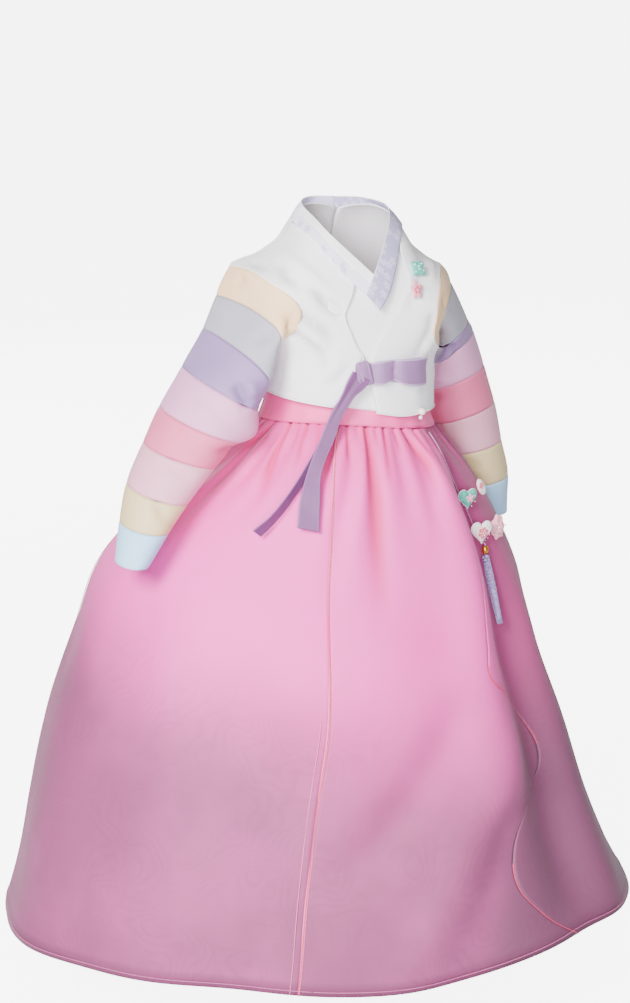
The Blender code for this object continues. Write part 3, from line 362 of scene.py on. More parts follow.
class Tree:
    """Adds and joins the nodes of one material or group."""

    def __init__(self, tree: bpy.types.NodeTree) -> None:
        """Work on one node tree."""
        self.tree = tree

    def node(self, kind: str, **settings: object) -> bpy.types.Node:
        """Add a node of a kind and set its own properties."""
        made = self.tree.nodes.new(kind)
        for key, value in settings.items():
            setattr(made, key, value)
        return made

    def feed(self, target: Socket, source: object) -> None:
        """Join a socket, or set its value."""
        if isinstance(source, bpy.types.NodeSocket):
            self.tree.links.new(source, target)
        else:
            target.default_value = source

    def math(self, operation: str, a: object, b: object = 0.0, clamp: bool = False) -> Socket:
        """One step of arithmetic."""
        made = self.node("ShaderNodeMath", operation=operation, use_clamp=clamp)
        self.feed(made.inputs[0], a)
        self.feed(made.inputs[1], b)
        return made.outputs[0]

    def span(self, value: object, low: object, high: object, start: float = 0.0, end: float = 1.0) -> Socket:
        """A value moved softly from one range to another."""
        made = self.node("ShaderNodeMapRange", interpolation_type="SMOOTHSTEP")
        for key, item in (("Value", value), ("From Min", low), ("From Max", high),
                          ("To Min", start), ("To Max", end)):
            self.feed(made.inputs[key], item)
        return made.outputs["Result"]

    def mix(self, share: object, a: object, b: object, blend: str = "MIX") -> Socket:
        """Two colours mixed."""
        made = self.node("ShaderNodeMix", data_type="RGBA", blend_type=blend)
        self.feed(made.inputs[0], share)
        self.feed(made.inputs[6], a)
        self.feed(made.inputs[7], b)
        return made.outputs[2]

    def split(self, vector: object) -> tuple[Socket, Socket, Socket]:
        """The three parts of a vector."""
        made = self.node("ShaderNodeSeparateXYZ")
        self.feed(made.inputs[0], vector)
        return made.outputs[0], made.outputs[1], made.outputs[2]

    def join(self, x: object, y: object, z: object = 0.0) -> Socket:
        """A vector of three parts."""
        made = self.node("ShaderNodeCombineXYZ")
        for socket, item in zip(made.inputs, (x, y, z)):
            self.feed(socket, item)
        return made.outputs[0]

    def noise(self, vector: object, scale: object, detail: float = 2.0) -> Socket:
        """Soft noise from 0 to 1."""
        made = self.node("ShaderNodeTexNoise")
        for key, item in (("Vector", vector), ("Scale", scale), ("Detail", detail)):
            self.feed(made.inputs[key], item)
        return made.outputs[0]

    def uv(self, name: str) -> Socket:
        """One of a cloth's UV maps."""
        return self.node("ShaderNodeUVMap", uv_map=name).outputs[0]

    def group(self, tree: bpy.types.NodeTree, **inputs: object) -> bpy.types.Node:
        """Place a group and feed its inputs by name, with _ for a blank."""
        made = self.node("ShaderNodeGroup")
        made.node_tree = tree
        for key, item in inputs.items():
            self.feed(made.inputs[key.replace("_", " ")], item)
        return made


def built_once(build: GroupBuilder) -> GroupBuilder:
    """Let a builder of Effects make its group on the first call and give the same one after."""

    def give(effects: "Effects") -> bpy.types.NodeTree:
        """The group, built if it isn't yet."""
        if build.__name__ not in effects.made:
            effects.made[build.__name__] = build(effects)
        return effects.made[build.__name__]

    return give


class Effects:
    """The shader groups that several finishes share, each built once."""

    def __init__(self) -> None:
        """Start with no group built."""
        self.made: dict[str, bpy.types.NodeTree] = {}

    def _group(self, name: str, inputs: Sequence[tuple[str, str, float]],
               outputs: Sequence[str]) -> tuple[Tree, bpy.types.Node, bpy.types.Node]:
        """An empty group with its sockets.

        Args:
            name: the group's name.
            inputs: name, socket type and default of each input.
            outputs: names of the value outputs.

        Returns:
            The tree and its two ends.
        """
        tree = bpy.data.node_groups.new(name, "ShaderNodeTree")
        for label, kind, default in inputs:
            socket = tree.interface.new_socket(label, in_out="INPUT", socket_type=kind)
            if kind == NUMBER:
                socket.default_value = default
        for label in outputs:
            tree.interface.new_socket(label, in_out="OUTPUT", socket_type=NUMBER)
        make = Tree(tree)
        return make, make.node("NodeGroupInput"), make.node("NodeGroupOutput")

    @built_once
    def weave(self) -> bpy.types.NodeTree:
        """Plain weave with uneven threads: a height and a tone that wanders along the threads."""
        make, given, out = self._group("Weave", (("Vector", VECTOR, 0.0), ("Pitch", NUMBER, 0.0008),
                                                 ("Streak", NUMBER, 1.0)), ("Height", "Tone"))
        x, y, _ = make.split(given.outputs["Vector"])
        rate = make.math("DIVIDE", 2 * math.pi, given.outputs["Pitch"])
        warp = make.math("SINE", make.math("MULTIPLY", x, rate))
        weft = make.math("SINE", make.math("MULTIPLY", y, rate))
        plain = make.math("MULTIPLY", warp, weft)
        along = make.noise(make.join(make.math("MULTIPLY", x, 900.0), make.math("MULTIPLY", y, 18.0)), 1.0)
        beside = make.join(make.math("MULTIPLY", x, 18.0), make.math("MULTIPLY", y, 900.0), 4.0)
        over = make.noise(beside, 1.0)
        streak = make.math("MULTIPLY", make.math("SUBTRACT", make.math("ADD", along, over), 1.0),
                           given.outputs["Streak"])
        make.feed(out.inputs["Height"], make.math("ADD", make.math("MULTIPLY", plain, 0.5), streak))
        make.feed(out.inputs["Tone"], make.math("ADD", streak, 0.5, clamp=True))
        return make.tree

    @built_once
    def clouds(self) -> bpy.types.NodeTree:
        """Slow changes of tone over the whole cloth."""
        make, given, out = self._group("Clouds", (("Vector", VECTOR, 0.0), ("Size", NUMBER, 0.08)), ("Tone",))
        noise = make.noise(given.outputs["Vector"], make.math("DIVIDE", 1.0, given.outputs["Size"]), 3.0)
        make.feed(out.inputs["Tone"], make.span(noise, 0.32, 0.68))
        return make.tree

    @built_once
    def blossoms(self) -> bpy.types.NodeTree:
        """Scattered five-petalled flowers with a round eye and a ring of dots."""
        make, given, out = self._group("Blossoms", (
            ("Vector", VECTOR, 0.0), ("Spacing", NUMBER, 0.02), ("Radius", NUMBER, 0.3),
            ("Share", NUMBER, 0.6)), ("Mask", "Eye"))
        scaled = make.node("ShaderNodeVectorMath", operation="SCALE")
        make.feed(scaled.inputs[0], given.outputs["Vector"])
        make.feed(scaled.inputs["Scale"], make.math("DIVIDE", 1.0, given.outputs["Spacing"]))
        cells = make.node("ShaderNodeTexVoronoi", voronoi_dimensions="2D", feature="F1")
        make.feed(cells.inputs["Vector"], scaled.outputs[0])
        cells.inputs["Scale"].default_value = 1.0
        cells.inputs["Randomness"].default_value = 0.55
        away = make.node("ShaderNodeVectorMath", operation="SUBTRACT")
        make.feed(away.inputs[0], scaled.outputs[0])
        make.feed(away.inputs[1], cells.outputs["Position"])
        x, y, _ = make.split(away.outputs[0])
        red, green, _ = make.split(cells.outputs["Color"])
        angle = make.math("ADD", make.math("ARCTAN2", y, x), make.math("MULTIPLY", green, 6.0))
        petal = make.math("ABSOLUTE", make.math("COSINE", make.math("MULTIPLY", angle, 2.5)))
        reach = make.math("MULTIPLY", make.math("ADD", make.math("MULTIPLY", petal, 0.45), 0.55),
                          given.outputs["Radius"])
        distance = cells.outputs["Distance"]
        edge = make.math("SUBTRACT", reach, distance)
        kept = make.math("LESS_THAN", red, given.outputs["Share"])
        eye = make.span(distance, make.math("MULTIPLY", given.outputs["Radius"], 0.16),
                        make.math("MULTIPLY", given.outputs["Radius"], 0.24), 1.0, 0.0)
        full = make.span(edge, 0.0, 0.05)
        vein = make.span(make.math("ABSOLUTE", make.math("SUBTRACT", edge, 0.09)), 0.01, 0.03, 0.55, 1.0)
        make.feed(out.inputs["Mask"],
                  make.math("MULTIPLY", make.math("MULTIPLY", full, vein), kept, clamp=True))
        make.feed(out.inputs["Eye"], make.math("MULTIPLY", eye, kept, clamp=True))
        return make.tree

    @built_once
    def border(self) -> bpy.types.NodeTree:
        """1 along the edges of a cloth, by its shares."""
        make, given, out = self._group("Border", (("Share", VECTOR, 0.0), ("Side Width", NUMBER, 0.05),
                                                  ("End Width", NUMBER, 0.0)), ("Mask",))
        x, y, _ = make.split(given.outputs["Share"])
        sides = make.math("MINIMUM", x, make.math("SUBTRACT", 1.0, x))
        ends = make.math("MINIMUM", y, make.math("SUBTRACT", 1.0, y))
        mask = make.math("MAXIMUM", make.math("LESS_THAN", sides, given.outputs["Side Width"]),
                         make.math("LESS_THAN", ends, given.outputs["End Width"]))
        make.feed(out.inputs["Mask"], mask)
        return make.tree

    @built_once
    def moire(self) -> bpy.types.NodeTree:
        """Faint wavy rings where two sheer layers lie over each other."""
        make, given, out = self._group("Moire", (("Vector", VECTOR, 0.0), ("Pitch", NUMBER, 0.006)),
                                       ("Tone",))
        slow = make.noise(given.outputs["Vector"], 9.0, 2.0)
        _, y, _ = make.split(given.outputs["Vector"])
        bent = make.math("ADD", make.math("MULTIPLY", slow, 0.11), make.math("MULTIPLY", y, 0.55))
        wave = make.math("SINE",
                         make.math("MULTIPLY", bent,
                                   make.math("DIVIDE", 2 * math.pi, given.outputs["Pitch"])))
        patch = make.span(make.noise(given.outputs["Vector"], 14.0, 1.0), 0.40, 0.62)
        make.feed(out.inputs["Tone"], make.math("MULTIPLY", wave, patch))
        return make.tree


# --- finishes -----------------------------------------------------------------------------
@dataclass(frozen=True)
class Flowers:
    """A scatter of small flowers on a cloth: colour, spacing, reach, share of places and raise."""

    color: str
    eye: str
    spacing: float
    radius: float = 0.30
    share: float = 0.6
    strength: float = 0.8
    raised: float = 0.3


@dataclass(frozen=True)
class ClothFinish:
    """One cloth: its colours, weave, sheen, and the border or flowers on it, with deep as the colour of the
    painted shade in its troughs.
    """

    name: str
    slot: str
    color: str
    # deep: colour of the painted shade in the cloth's troughs and creases
    deep: str
    pale: str
    roughness: float = 0.62
    sheen: float = 0.08
    pitch: float = 0.0009
    streak: float = 0.5
    bump: float = 0.25
    cloud: float = 0.35
    alpha: float = 1.0
    border: tuple[str, float, float] | None = None
    flowers: Flowers | None = None
    blend: tuple[str, float, float] | None = None

    def build(self, effects: Effects) -> bpy.types.Material:
        """Make the material, its groups taken from effects."""
        material, make, shader = start_material(self.name)
        metres, share = make.uv("metres"), make.uv("share")
        weave = make.group(effects.weave(), Vector=metres, Pitch=self.pitch, Streak=self.streak)
        spot = make.node("ShaderNodeTexCoord").outputs["Object"]
        clouds = make.group(effects.clouds(), Vector=spot, Size=0.07)
        fold = make.node("ShaderNodeAttribute", attribute_name="fold")
        color: object = tint(self.color)
        if self.blend:
            other, low, high = self.blend
            across, _, _ = make.split(share)
            color = make.mix(make.span(across, low, high), color, tint(other))
        color = make.mix(make.math("MULTIPLY", weave.outputs["Tone"], self.streak, clamp=True), color,
                         tint(self.pale))
        color = make.mix(make.math("MULTIPLY", clouds.outputs[0], self.cloud), color, tint(self.pale))
        # painted crease shade: the colour goes towards deep where the fold attribute marks a trough
        color = make.mix(make.span(fold.outputs["Fac"], 0.0002, 0.0050, 0.0, 0.50), color, tint(self.deep))
        height = make.math("MULTIPLY", weave.outputs["Height"], self.pitch * 0.25)
        if self.flowers:
            f = self.flowers
            flower = make.group(effects.blossoms(), Vector=metres, Spacing=f.spacing, Radius=f.radius,
                                Share=f.share)
            color = make.mix(make.math("MULTIPLY", flower.outputs["Mask"], f.strength), color, tint(f.color))
            color = make.mix(make.math("MULTIPLY", flower.outputs["Eye"], f.strength), color, tint(f.eye))
            height = make.math("ADD", height, make.math("MULTIPLY", flower.outputs["Mask"], f.raised * 0.001))
        if self.border:
            edge, side, end = self.border
            mask = make.group(effects.border(), Share=share, Side_Width=side, End_Width=end)
            color = make.mix(mask.outputs[0], color, tint(edge))
        make.feed(shader.inputs["Base Color"], color)
        rough = make.math("SUBTRACT", self.roughness, make.math("MULTIPLY", weave.outputs["Tone"], 0.10))
        make.feed(shader.inputs["Roughness"], rough)
        shader.inputs["Specular IOR Level"].default_value = 0.35
        shader.inputs["Sheen Weight"].default_value = self.sheen
        shader.inputs["Sheen Roughness"].default_value = 0.4
        add_bump(make, shader, height, self.bump)
        if self.alpha < 1:
            thread = make.math("MULTIPLY", weave.outputs["Tone"], 1 - self.alpha)
            make.feed(shader.inputs["Alpha"], make.math("ADD", thread, self.alpha, clamp=True))
        return material


@dataclass(frozen=True)
class OrganzaFinish:
    """The skirt's sheer cloth: pink over the opaque layer and mauve below it, the mauve partly the sheer
    cloth's own look and partly painted shade of the skirt's inside; with painted shade towards the sides, in
    its creases and on its left side.
    """

    name: str = "pink_organza"
    slot: str = "skirt_organza"
    upper: str = "F24CB0"
    # upper_deep and lower_deep: deeper colours for the painted crease shade and the deeper band under the
    # waistband; lower_deep also tints the moire and the hem's edge
    upper_deep: str = "D6307A"
    lower: str = "803F63"
    lower_deep: str = "663350"
    pale: str = "F668BE"
    shaded: str = "8E3F66"
    shaded_low: str = "6C4059"
    change: tuple[float, float] = (0.50, 0.82)
    # middle: across of the skirt's middle and the gain of the painted shade towards the sides
    middle: tuple[float, float] = (0.05, 1.9)

    def build(self, effects: Effects) -> bpy.types.Material:
        """Make the material: bright pink in the upper middle; lower down a greyer mauve that is partly the
        cloth without the under-layer behind it and partly painted shade; towards the sides the same mauve as
        painted shade.
        """
        material, make, shader = start_material(self.name)
        metres, share = make.uv("metres"), make.uv("share")
        spot = make.node("ShaderNodeTexCoord").outputs["Object"]
        _, drop, _ = make.split(share)
        across, _, _ = make.split(spot)
        wander = make.math("MULTIPLY", make.math("SUBTRACT", make.noise(spot, 5.0, 2.0), 0.5), 0.16)
        # the mauve share grows with the drop and away from the middle: lower down it is partly the sheer
        # cloth's own look and partly painted shade of the skirt's inside; towards the sides it is painted
        # shade
        off = make.math("SUBTRACT", across, self.middle[0])
        side_shade = make.math("MULTIPLY", make.math("MULTIPLY", off, off), self.middle[1])
        low = make.span(make.math("ADD", make.math("ADD", drop, wander), side_shade), *self.change)
        weave = make.group(effects.weave(), Vector=metres, Pitch=0.0011, Streak=0.6)
        clouds = make.group(effects.clouds(), Vector=spot, Size=0.12)
        moire = make.group(effects.moire(), Vector=spot, Pitch=0.0042)
        fold = make.node("ShaderNodeAttribute", attribute_name="fold")
        body = make.mix(low, tint(self.upper), tint(self.lower))
        deep = make.mix(low, tint(self.upper_deep), tint(self.lower_deep))
        color = make.mix(make.math("MULTIPLY", clouds.outputs[0], 0.16), body, tint(self.pale))
        # deeper towards the waistband, where the gathers crowd: partly their doubled layers, partly painted
        # shade between them
        top = make.span(drop, 0.0, 0.26, 0.55, 0.0)
        color = make.mix(top, color, deep)
        color = make.mix(make.math("MULTIPLY", weave.outputs["Tone"], 0.12), color, tint(self.pale))
        # painted crease shade: deeper where the fold attribute marks a trough
        color = make.mix(make.span(fold.outputs["Fac"], 0.0, 0.0040, 0.0, 0.95), color, deep)
        # painted shade: a greyer, darker mauve on the skirt's left side, marked by large negative fold values
        shaded = make.mix(low, tint(self.shaded), tint(self.shaded_low))
        shade = make.span(make.math("MULTIPLY", fold.outputs["Fac"], -1.0), 0.005, 0.050, 0.0, 0.85)
        color = make.mix(shade, color, shaded)
        rings = make.math("MULTIPLY", make.math("MULTIPLY", moire.outputs[0], low), 0.13)
        color = make.mix(make.math("MAXIMUM", rings, 0.0), color, tint(self.lower_deep))
        color = make.mix(make.span(drop, 0.978, 0.988, 0.0, 0.45), color, tint(self.lower_deep))
        make.feed(shader.inputs["Base Color"], color)
        make.feed(shader.inputs["Roughness"],
                  make.math("SUBTRACT", 0.60, make.math("MULTIPLY", weave.outputs["Tone"], 0.12)))
        shader.inputs["Specular IOR Level"].default_value = 0.3
        shader.inputs["Sheen Weight"].default_value = 0.08
        shader.inputs["Sheen Roughness"].default_value = 0.35
        add_bump(make, shader, make.math("MULTIPLY", weave.outputs["Height"], 0.00025), 0.3)
        return material


@dataclass(frozen=True)
class HardFinish:
    """A bead, thread or other small hard or shiny piece."""

    name: str
    slot: str
    color: str
    pale: str
    roughness: float = 0.35
    metallic: float = 0.0
    coat: float = 0.0
    grain: float = 0.0015
    bump: float = 0.2

    def build(self, effects: Effects) -> bpy.types.Material:
        """Make the material."""
        material, make, shader = start_material(self.name)
        spot = make.node("ShaderNodeTexCoord").outputs["Object"]
        clouds = make.group(effects.clouds(), Vector=spot, Size=self.grain)
        make.feed(shader.inputs["Base Color"], make.mix(clouds.outputs[0], tint(self.color), tint(self.pale)))
        rough = make.math("ADD", self.roughness, make.math("MULTIPLY", clouds.outputs[0], 0.08))
        make.feed(shader.inputs["Roughness"], rough)
        shader.inputs["Metallic"].default_value = self.metallic
        shader.inputs["Coat Weight"].default_value = self.coat
        add_bump(make, shader, make.math("MULTIPLY", clouds.outputs[0], 0.0002), self.bump)
        return material


def start_material(name: str) -> tuple[bpy.types.Material, Tree, bpy.types.Node]:
    """A new material with its tree and its shader."""
    material = bpy.data.materials.new(name)
    material.use_nodes = True
    return material, Tree(material.node_tree), material.node_tree.nodes["Principled BSDF"]


def add_bump(make: Tree, shader: bpy.types.Node, height: object, strength: float) -> None:
    """Feed a height in metres to the shader as a bump."""
    bump = make.node("ShaderNodeBump")
    bump.inputs["Strength"].default_value = strength
    bump.inputs["Distance"].default_value = 1.0
    make.feed(bump.inputs["Height"], height)
    make.feed(shader.inputs["Normal"], bump.outputs[0])


# Each cloth's second colour is the colour of its painted crease shade.
STRIPE_FINISHES = (
    ClothFinish("cream_stripe", "sleeve_cream", "EAC397", "D3A47E", "F6D6A8", streak=0.3),
    ClothFinish("mist_stripe", "sleeve_mist", "9D9BA9", "86808F", "AEADBB", streak=0.3),
    ClothFinish("lavender_stripe", "sleeve_lavender", "8D72A2", "765A88", "9D80B0", streak=0.3),
    ClothFinish("lilac_stripe", "sleeve_lilac", "D391BC", "BB77A2", "E4A0CB", streak=0.3),
    ClothFinish("rose_stripe", "sleeve_rose", "D8618F", "BC4676", "E87A9F", streak=0.3),
    ClothFinish("blush_stripe", "sleeve_blush", "D897AE", "BC7A92", "E8A6BE", streak=0.3),
    ClothFinish("butter_stripe", "sleeve_butter", "D0BA8C", "B49A74", "E2CA9A", streak=0.3),
    ClothFinish("sky_stripe", "sleeve_sky", "A4CCF0", "86A8CE", "B4DCF6", streak=0.3),
)
WHITE_CLOTH = ClothFinish("white_jacket_silk", "jacket_white", "F1EEF3", "8F8B96", "F8F6FA", roughness=0.6,
                          streak=0.25, sheen=0.1,
                          flowers=Flowers("FBF9FC", "F3E9F2", 0.022, 0.30, 0.45, 0.35, 0.25))
INNER_CLOTH = ClothFinish("inner_front_silk", "jacket_white", "EFECF1", "8F8B96", "F6F4F7", streak=0.25,
                          sheen=0.1)
PIPING_CLOTH = HardFinish("white_edge_piping", "jacket_white", "F4F2F6", "FBFBFC", 0.6)
RIGHT_COLLAR_CLOTH = ClothFinish("right_collar_silk", "collar_lilac", "D6CCEE", "B4A5D2", "E2D8F6", sheen=0.1,
                                 flowers=Flowers("B4A2DC", "E4DAFA", 0.0150, 0.36, 0.40, 0.55, 0.4),
                                 blend=("F0EDF8", 0.26, 0.44))
LEFT_COLLAR_CLOTH = ClothFinish("left_collar_silk", "collar_lilac", "9E97BC", "7F789E", "B0A9CB", sheen=0.1,
                                flowers=Flowers("D2CCE4", "968DB8", 0.0095, 0.44, 0.80, 0.65, 0.5))
STRIP_CLOTH = ClothFinish("collar_white_cotton", "collar_white", "F6F4F9", "DDDDE6", "FFFFFF", streak=0.2,
                          sheen=0.1)
RIBBON_CLOTH = ClothFinish("mauve_ribbon_gauze", "ribbon_mauve", "623465", "462549", "7C4E80",
                           roughness=0.55, streak=0.5,
                           border=("835A8A", 0.075, 0.0), sheen=0.06)
LOOP_CLOTH = ClothFinish("mauve_loop_gauze", "ribbon_mauve", "835C8B", "60406A", "A07CAA", roughness=0.5,
                         streak=0.5,
                         border=("B296BC", 0.0, 0.06), sheen=0.12)
KNOT_CLOTH = ClothFinish("mauve_knot_gauze", "ribbon_mauve", "7A4C80", "55305A", "9A76A2", roughness=0.5,
                         cloud=0.6, sheen=0.06)
WAIST_CLOTH = ClothFinish("pink_waistband", "waistband", "F24A98", "D63076", "F564A8", roughness=0.6,
                          streak=0.3, cloud=0.3)
LINING_CLOTH = ClothFinish("pink_lining", "skirt_under_layer", "E9739F", "C9527F", "EE86AC", roughness=0.75)
SEAM_THREAD = HardFinish("coral_seam", "skirt_organza", "CB2C58", "DC4C78", 0.6)
HEM_THREAD = HardFinish("mauve_hem", "skirt_organza", "A64A7C", "B4648E", 0.6)
PALE_THREAD = HardFinish("pale_seam", "skirt_organza", "E4649E", "EC7AAC", 0.6)
TEAL_SATIN = HardFinish("teal_satin", "teal_satin", "2FA596", "5ABFAE", 0.42, grain=0.006)
ROSE_SATIN = HardFinish("rose_satin", "rose_satin", "E58BA4", "EFA9BA", 0.45, grain=0.006)
IVORY_SATIN = HardFinish("ivory_satin", "ivory_satin", "EADFE2", "F6F0EE", 0.45, grain=0.006)
CORAL_THREAD = HardFinish("coral_petals", "rose_satin", "D84A68", "E87890", 0.5)
BLUSH_THREAD = HardFinish("blush_petals", "rose_satin", "E58FA9", "F0B0C2", 0.5)
GREY_BEAD = HardFinish("grey_beads", "pearl", "A2A4AA", "CFD2D4", 0.25, coat=0.4)
PEARL = HardFinish("pearl_lustre", "pearl", "ECD2D2", "F8EAE8", 0.18, coat=0.8, grain=0.004)
GOLD = HardFinish("gold_bead", "gold_bead", "C88A1E", "E2AE48", 0.28, metallic=1.0)
PERIWINKLE = HardFinish("periwinkle_silk", "periwinkle_silk", "8C7AB4", "AE9ECB", 0.42, grain=0.003)
CORD_SILK = HardFinish("mauve_cord_silk", "periwinkle_silk", "A0568A", "B87AA2", 0.5)


class Fitting:
    """Dresses each piece, seats it on the frame and reports it."""

    def __init__(self) -> None:
        """Start with no material made."""
        self.effects = Effects()
        self.materials: dict[str, bpy.types.Material] = {}

    def finish(self, finish: ClothFinish | OrganzaFinish | HardFinish) -> bpy.types.Material:
        """The material of a finish, made once."""
        if finish.name not in self.materials:
            self.materials[finish.name] = finish.build(self.effects)
        return self.materials[finish.name]

    def seat(self, obj: bpy.types.Object, slot: str, nodes: Sequence[str] = ()) -> bpy.types.Object:
        """Put a piece on the frame in place of some of its nodes."""
        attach(obj, BODY)
        if nodes:
            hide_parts(*nodes)
        LOG.info("%s: %d faces", obj.name, len(obj.data.polygons) if obj.type == "MESH" else 0)
        return obj

    def bag(self, bag: Bag, name: str, finish: ClothFinish | HardFinish, slot: str = "",
            nodes: Sequence[str] = ()) -> bpy.types.Object:
        """Build what a bag holds and seat it."""
        return self.seat(bag.build(name, self.finish(finish)), slot or finish.slot, nodes)

    def cloth(self, cloth: Cloth, finish: ClothFinish | OrganzaFinish, held: Held, nodes: Sequence[str],
              fullness: float = 1.0, rests_on: Sequence[str] = ()) -> bpy.types.Object:
        """Args:
            cloth: the shell.
            finish: its material and its slot.
            held: how it is held; not used.
            nodes: the nodes it replaces.
            fullness: cut area as a share of the area that shows; not used.
            rests_on: what it lies on; not used.

        Returns:
            The object.
        """
        obj = self.seat(cloth.build(self.finish(finish)), finish.slot, nodes)
        width, length, area = cloth.measure()
        length = max(length, SHORTEST_CUT)
        return obj


# --- skirt --------------------------------------------------------------------------------
@dataclass
class Skirt:
    """The full skirt: five organza panels, seams, waistband, hem and opaque under-layer."""

    waist_z: float = -0.1850
    hem_z: float = -0.7235
    hem_tilt: float = 0.040
    hem_rise: tuple[float, float, float] = (0.016, 14.0, 26.0)
    front_rise: float = 0.010
    side_drop: float = 0.005
    pleats: int = 30
    pleat_depth: float = 0.0026
    pleats_start: float = 0.04
    wall: float = 0.0009
    reach: Rows = (
        (-0.1850, 0.0900, 0.0905, 0.081, 0.078), (-0.2050, 0.1120, 0.1050, 0.095, 0.094),
        (-0.2300, 0.1400, 0.1230, 0.111, 0.114), (-0.2730, 0.1930, 0.1480, 0.134, 0.146),
        (-0.3380, 0.2540, 0.1760, 0.162, 0.180), (-0.4250, 0.2900, 0.1980, 0.190, 0.206),
        (-0.5140, 0.3220, 0.2290, 0.213, 0.228), (-0.6040, 0.3420, 0.2590, 0.232, 0.247),
        (-0.6950, 0.3620, 0.2940, 0.246, 0.264), (-0.7235, 0.3710, 0.3060, 0.249, 0.268),
    )
    band_reach: Rows = (
        (0.000, 0.0905, 0.0910, 0.0815, 0.0785), (0.022, 0.0830, 0.0830, 0.0770, 0.0700),
        (0.060, 0.0800, 0.0800, 0.0750, 0.0660),
    )
    # turn at the waist and the hem, share of the drop at start and end, height, half spread
    falls: Rows = (
        (52, 46, -0.08, 0.82, 0.012, 9), (66, 58, -0.03, 1.06, -0.016, 9), (78, 68, 0.25, 1.06, 0.011, 8),
        (96, 92, 0.30, 1.06, -0.009, 9), (94, -14, 0.42, 0.85, -0.008, 7), (88, 19, 0.52, 1.06, 0.009, 8),
        (104, 24, 0.60, 1.06, -0.007, 7),
        (-34, -30, 0.20, 1.50, 0.006, 12), (-16, -14, 0.35, 1.50, -0.004, 9),
        (-62, -58, 0.25, 1.50, 0.007, 12),
        (-84, -82, 0.30, 1.50, -0.004, 10), (-110, -112, 0.20, 1.50, 0.009, 11),
        (-138, -134, 0.25, 1.50, -0.009, 11),
        (-160, -162, 0.15, 1.50, 0.010, 11), (176, 178, 0.30, 1.50, -0.008, 9),
        (152, 150, 0.20, 1.50, 0.011, 11),
        (126, 124, 0.30, 1.50, -0.010, 10),
    )
    front_seam: Rows = (
        (0.0, -4.5), (0.07, -2.0), (0.13, 1.2), (0.19, 3.8), (0.28, 5.8), (0.38, 7.0),
        (0.52, 6.6), (0.60, 4.8), (0.68, 2.9), (0.76, 1.3), (0.86, -0.6), (1.0, -2.6),
    )
    left_seam: Rows = (
        (0.0, 54.0), (0.20, 54.0), (0.40, 50.0), (0.47, 49.5), (0.51, 55.0), (0.57, 61.5), (0.64, 64.0),
        (0.68, 62.0), (0.74, 50.0), (0.80, 44.5), (0.87, 43.0), (0.92, 46.0), (0.96, 49.5), (1.0, 54.5),
    )
    back_left_seam: Rows = ((0.0, 126.0), (1.0, 124.0))
    back_seam: Rows = ((0.0, 186.0), (1.0, 184.0))
    back_right_seam: Rows = ((0.0, 258.0), (1.0, 260.0))
    crease_gain: float = 1.3
    # the front's creases: turn and drop along each, half width, depth, spread of the far end
    creases: tuple[tuple[tuple[tuple[float, float], ...], float, float, float], ...] = (
        (((-53, 0.0), (-60, 0.08)), 0.0024, 0.0024, 2.0),
        (((-39.5, 0.0), (-34, 0.06), (-26, 0.15)), 0.0026, 0.0034, 2.6),
        (((-32, 0.0), (-27, 0.05)), 0.0018, 0.0016, 1.5),
        (((-26, 0.0), (-18, 0.085)), 0.0021, 0.0024, 1.8),
        (((-18, 0.0), (-13, 0.05)), 0.0017, 0.0015, 1.5),
        (((-6.5, 0.0), (-4, 0.13)), 0.0024, 0.0032, 2.2),
        (((0.5, 0.0), (6, 0.08)), 0.0019, 0.0024, 1.8),
        (((7, 0.0), (10, 0.05)), 0.0016, 0.0014, 1.5),
        (((13, 0.0), (17.5, 0.12), (19.5, 0.38)), 0.0036, 0.0034, 4.5),
        (((19, 0.0), (20, 0.04)), 0.0016, 0.0013, 1.5),
        (((25, 0.0), (23.5, 0.11)), 0.0020, 0.0026, 2.2),
        (((32, 0.0), (33, 0.05)), 0.0016, 0.0016, 1.6),
        (((38.5, 0.0), (44.5, 0.06), (44.5, 0.13)), 0.0024, 0.0030, 2.6),
        (((46, 0.0), (49, 0.06)), 0.0018, 0.0016, 1.8),
        (((60, 0.0), (64, 0.14)), 0.0024, 0.0028, 2.5),
    )
    # drop and turn of the line that the shade at the left side starts from
    shade_edge: Rows = (
        (0.0, 50.0), (0.10, 56.0), (0.26, 56.0), (0.40, 51.0), (0.58, 48.0), (0.70, 43.0), (0.80, 36.0),
        (1.0, 24.0),
    )
    shade_depth: float = 0.05
    crest_shade: float = 0.001
    columns_a_degree: float = 1.15
    rows: int = 72
    lining_end: float = 0.745
    lining_inset: float = 0.0047
    lining_slack: float = 0.0075
    seam_radius: float = 0.0007

    def oval(self, table: Table, level: Array, turn: Array) -> tuple[Array, Array, Array, Array]:
        """Across, depth and outward direction of the skirt's oval at a level."""
        right, left, front, back = np.moveaxis(table.at(level), -1, 0)
        half_width, half_depth = (right + left) / 2, (front + back) / 2
        nx, ny = np.sin(turn) / half_width, -np.cos(turn) / half_depth
        norm = np.hypot(nx, ny)
        return ((left - right) / 2 + half_width * np.sin(turn),
                (back - front) / 2 - half_depth * np.cos(turn),
                nx / norm, ny / norm)

    def seam_height(self, turn: Array) -> Array:
        """Height of the seam between the waistband and the skirt."""
        toward_front = np.maximum(0.0, np.cos(turn)) ** 2
        return self.waist_z + self.front_rise * toward_front - self.side_drop * np.sin(turn)

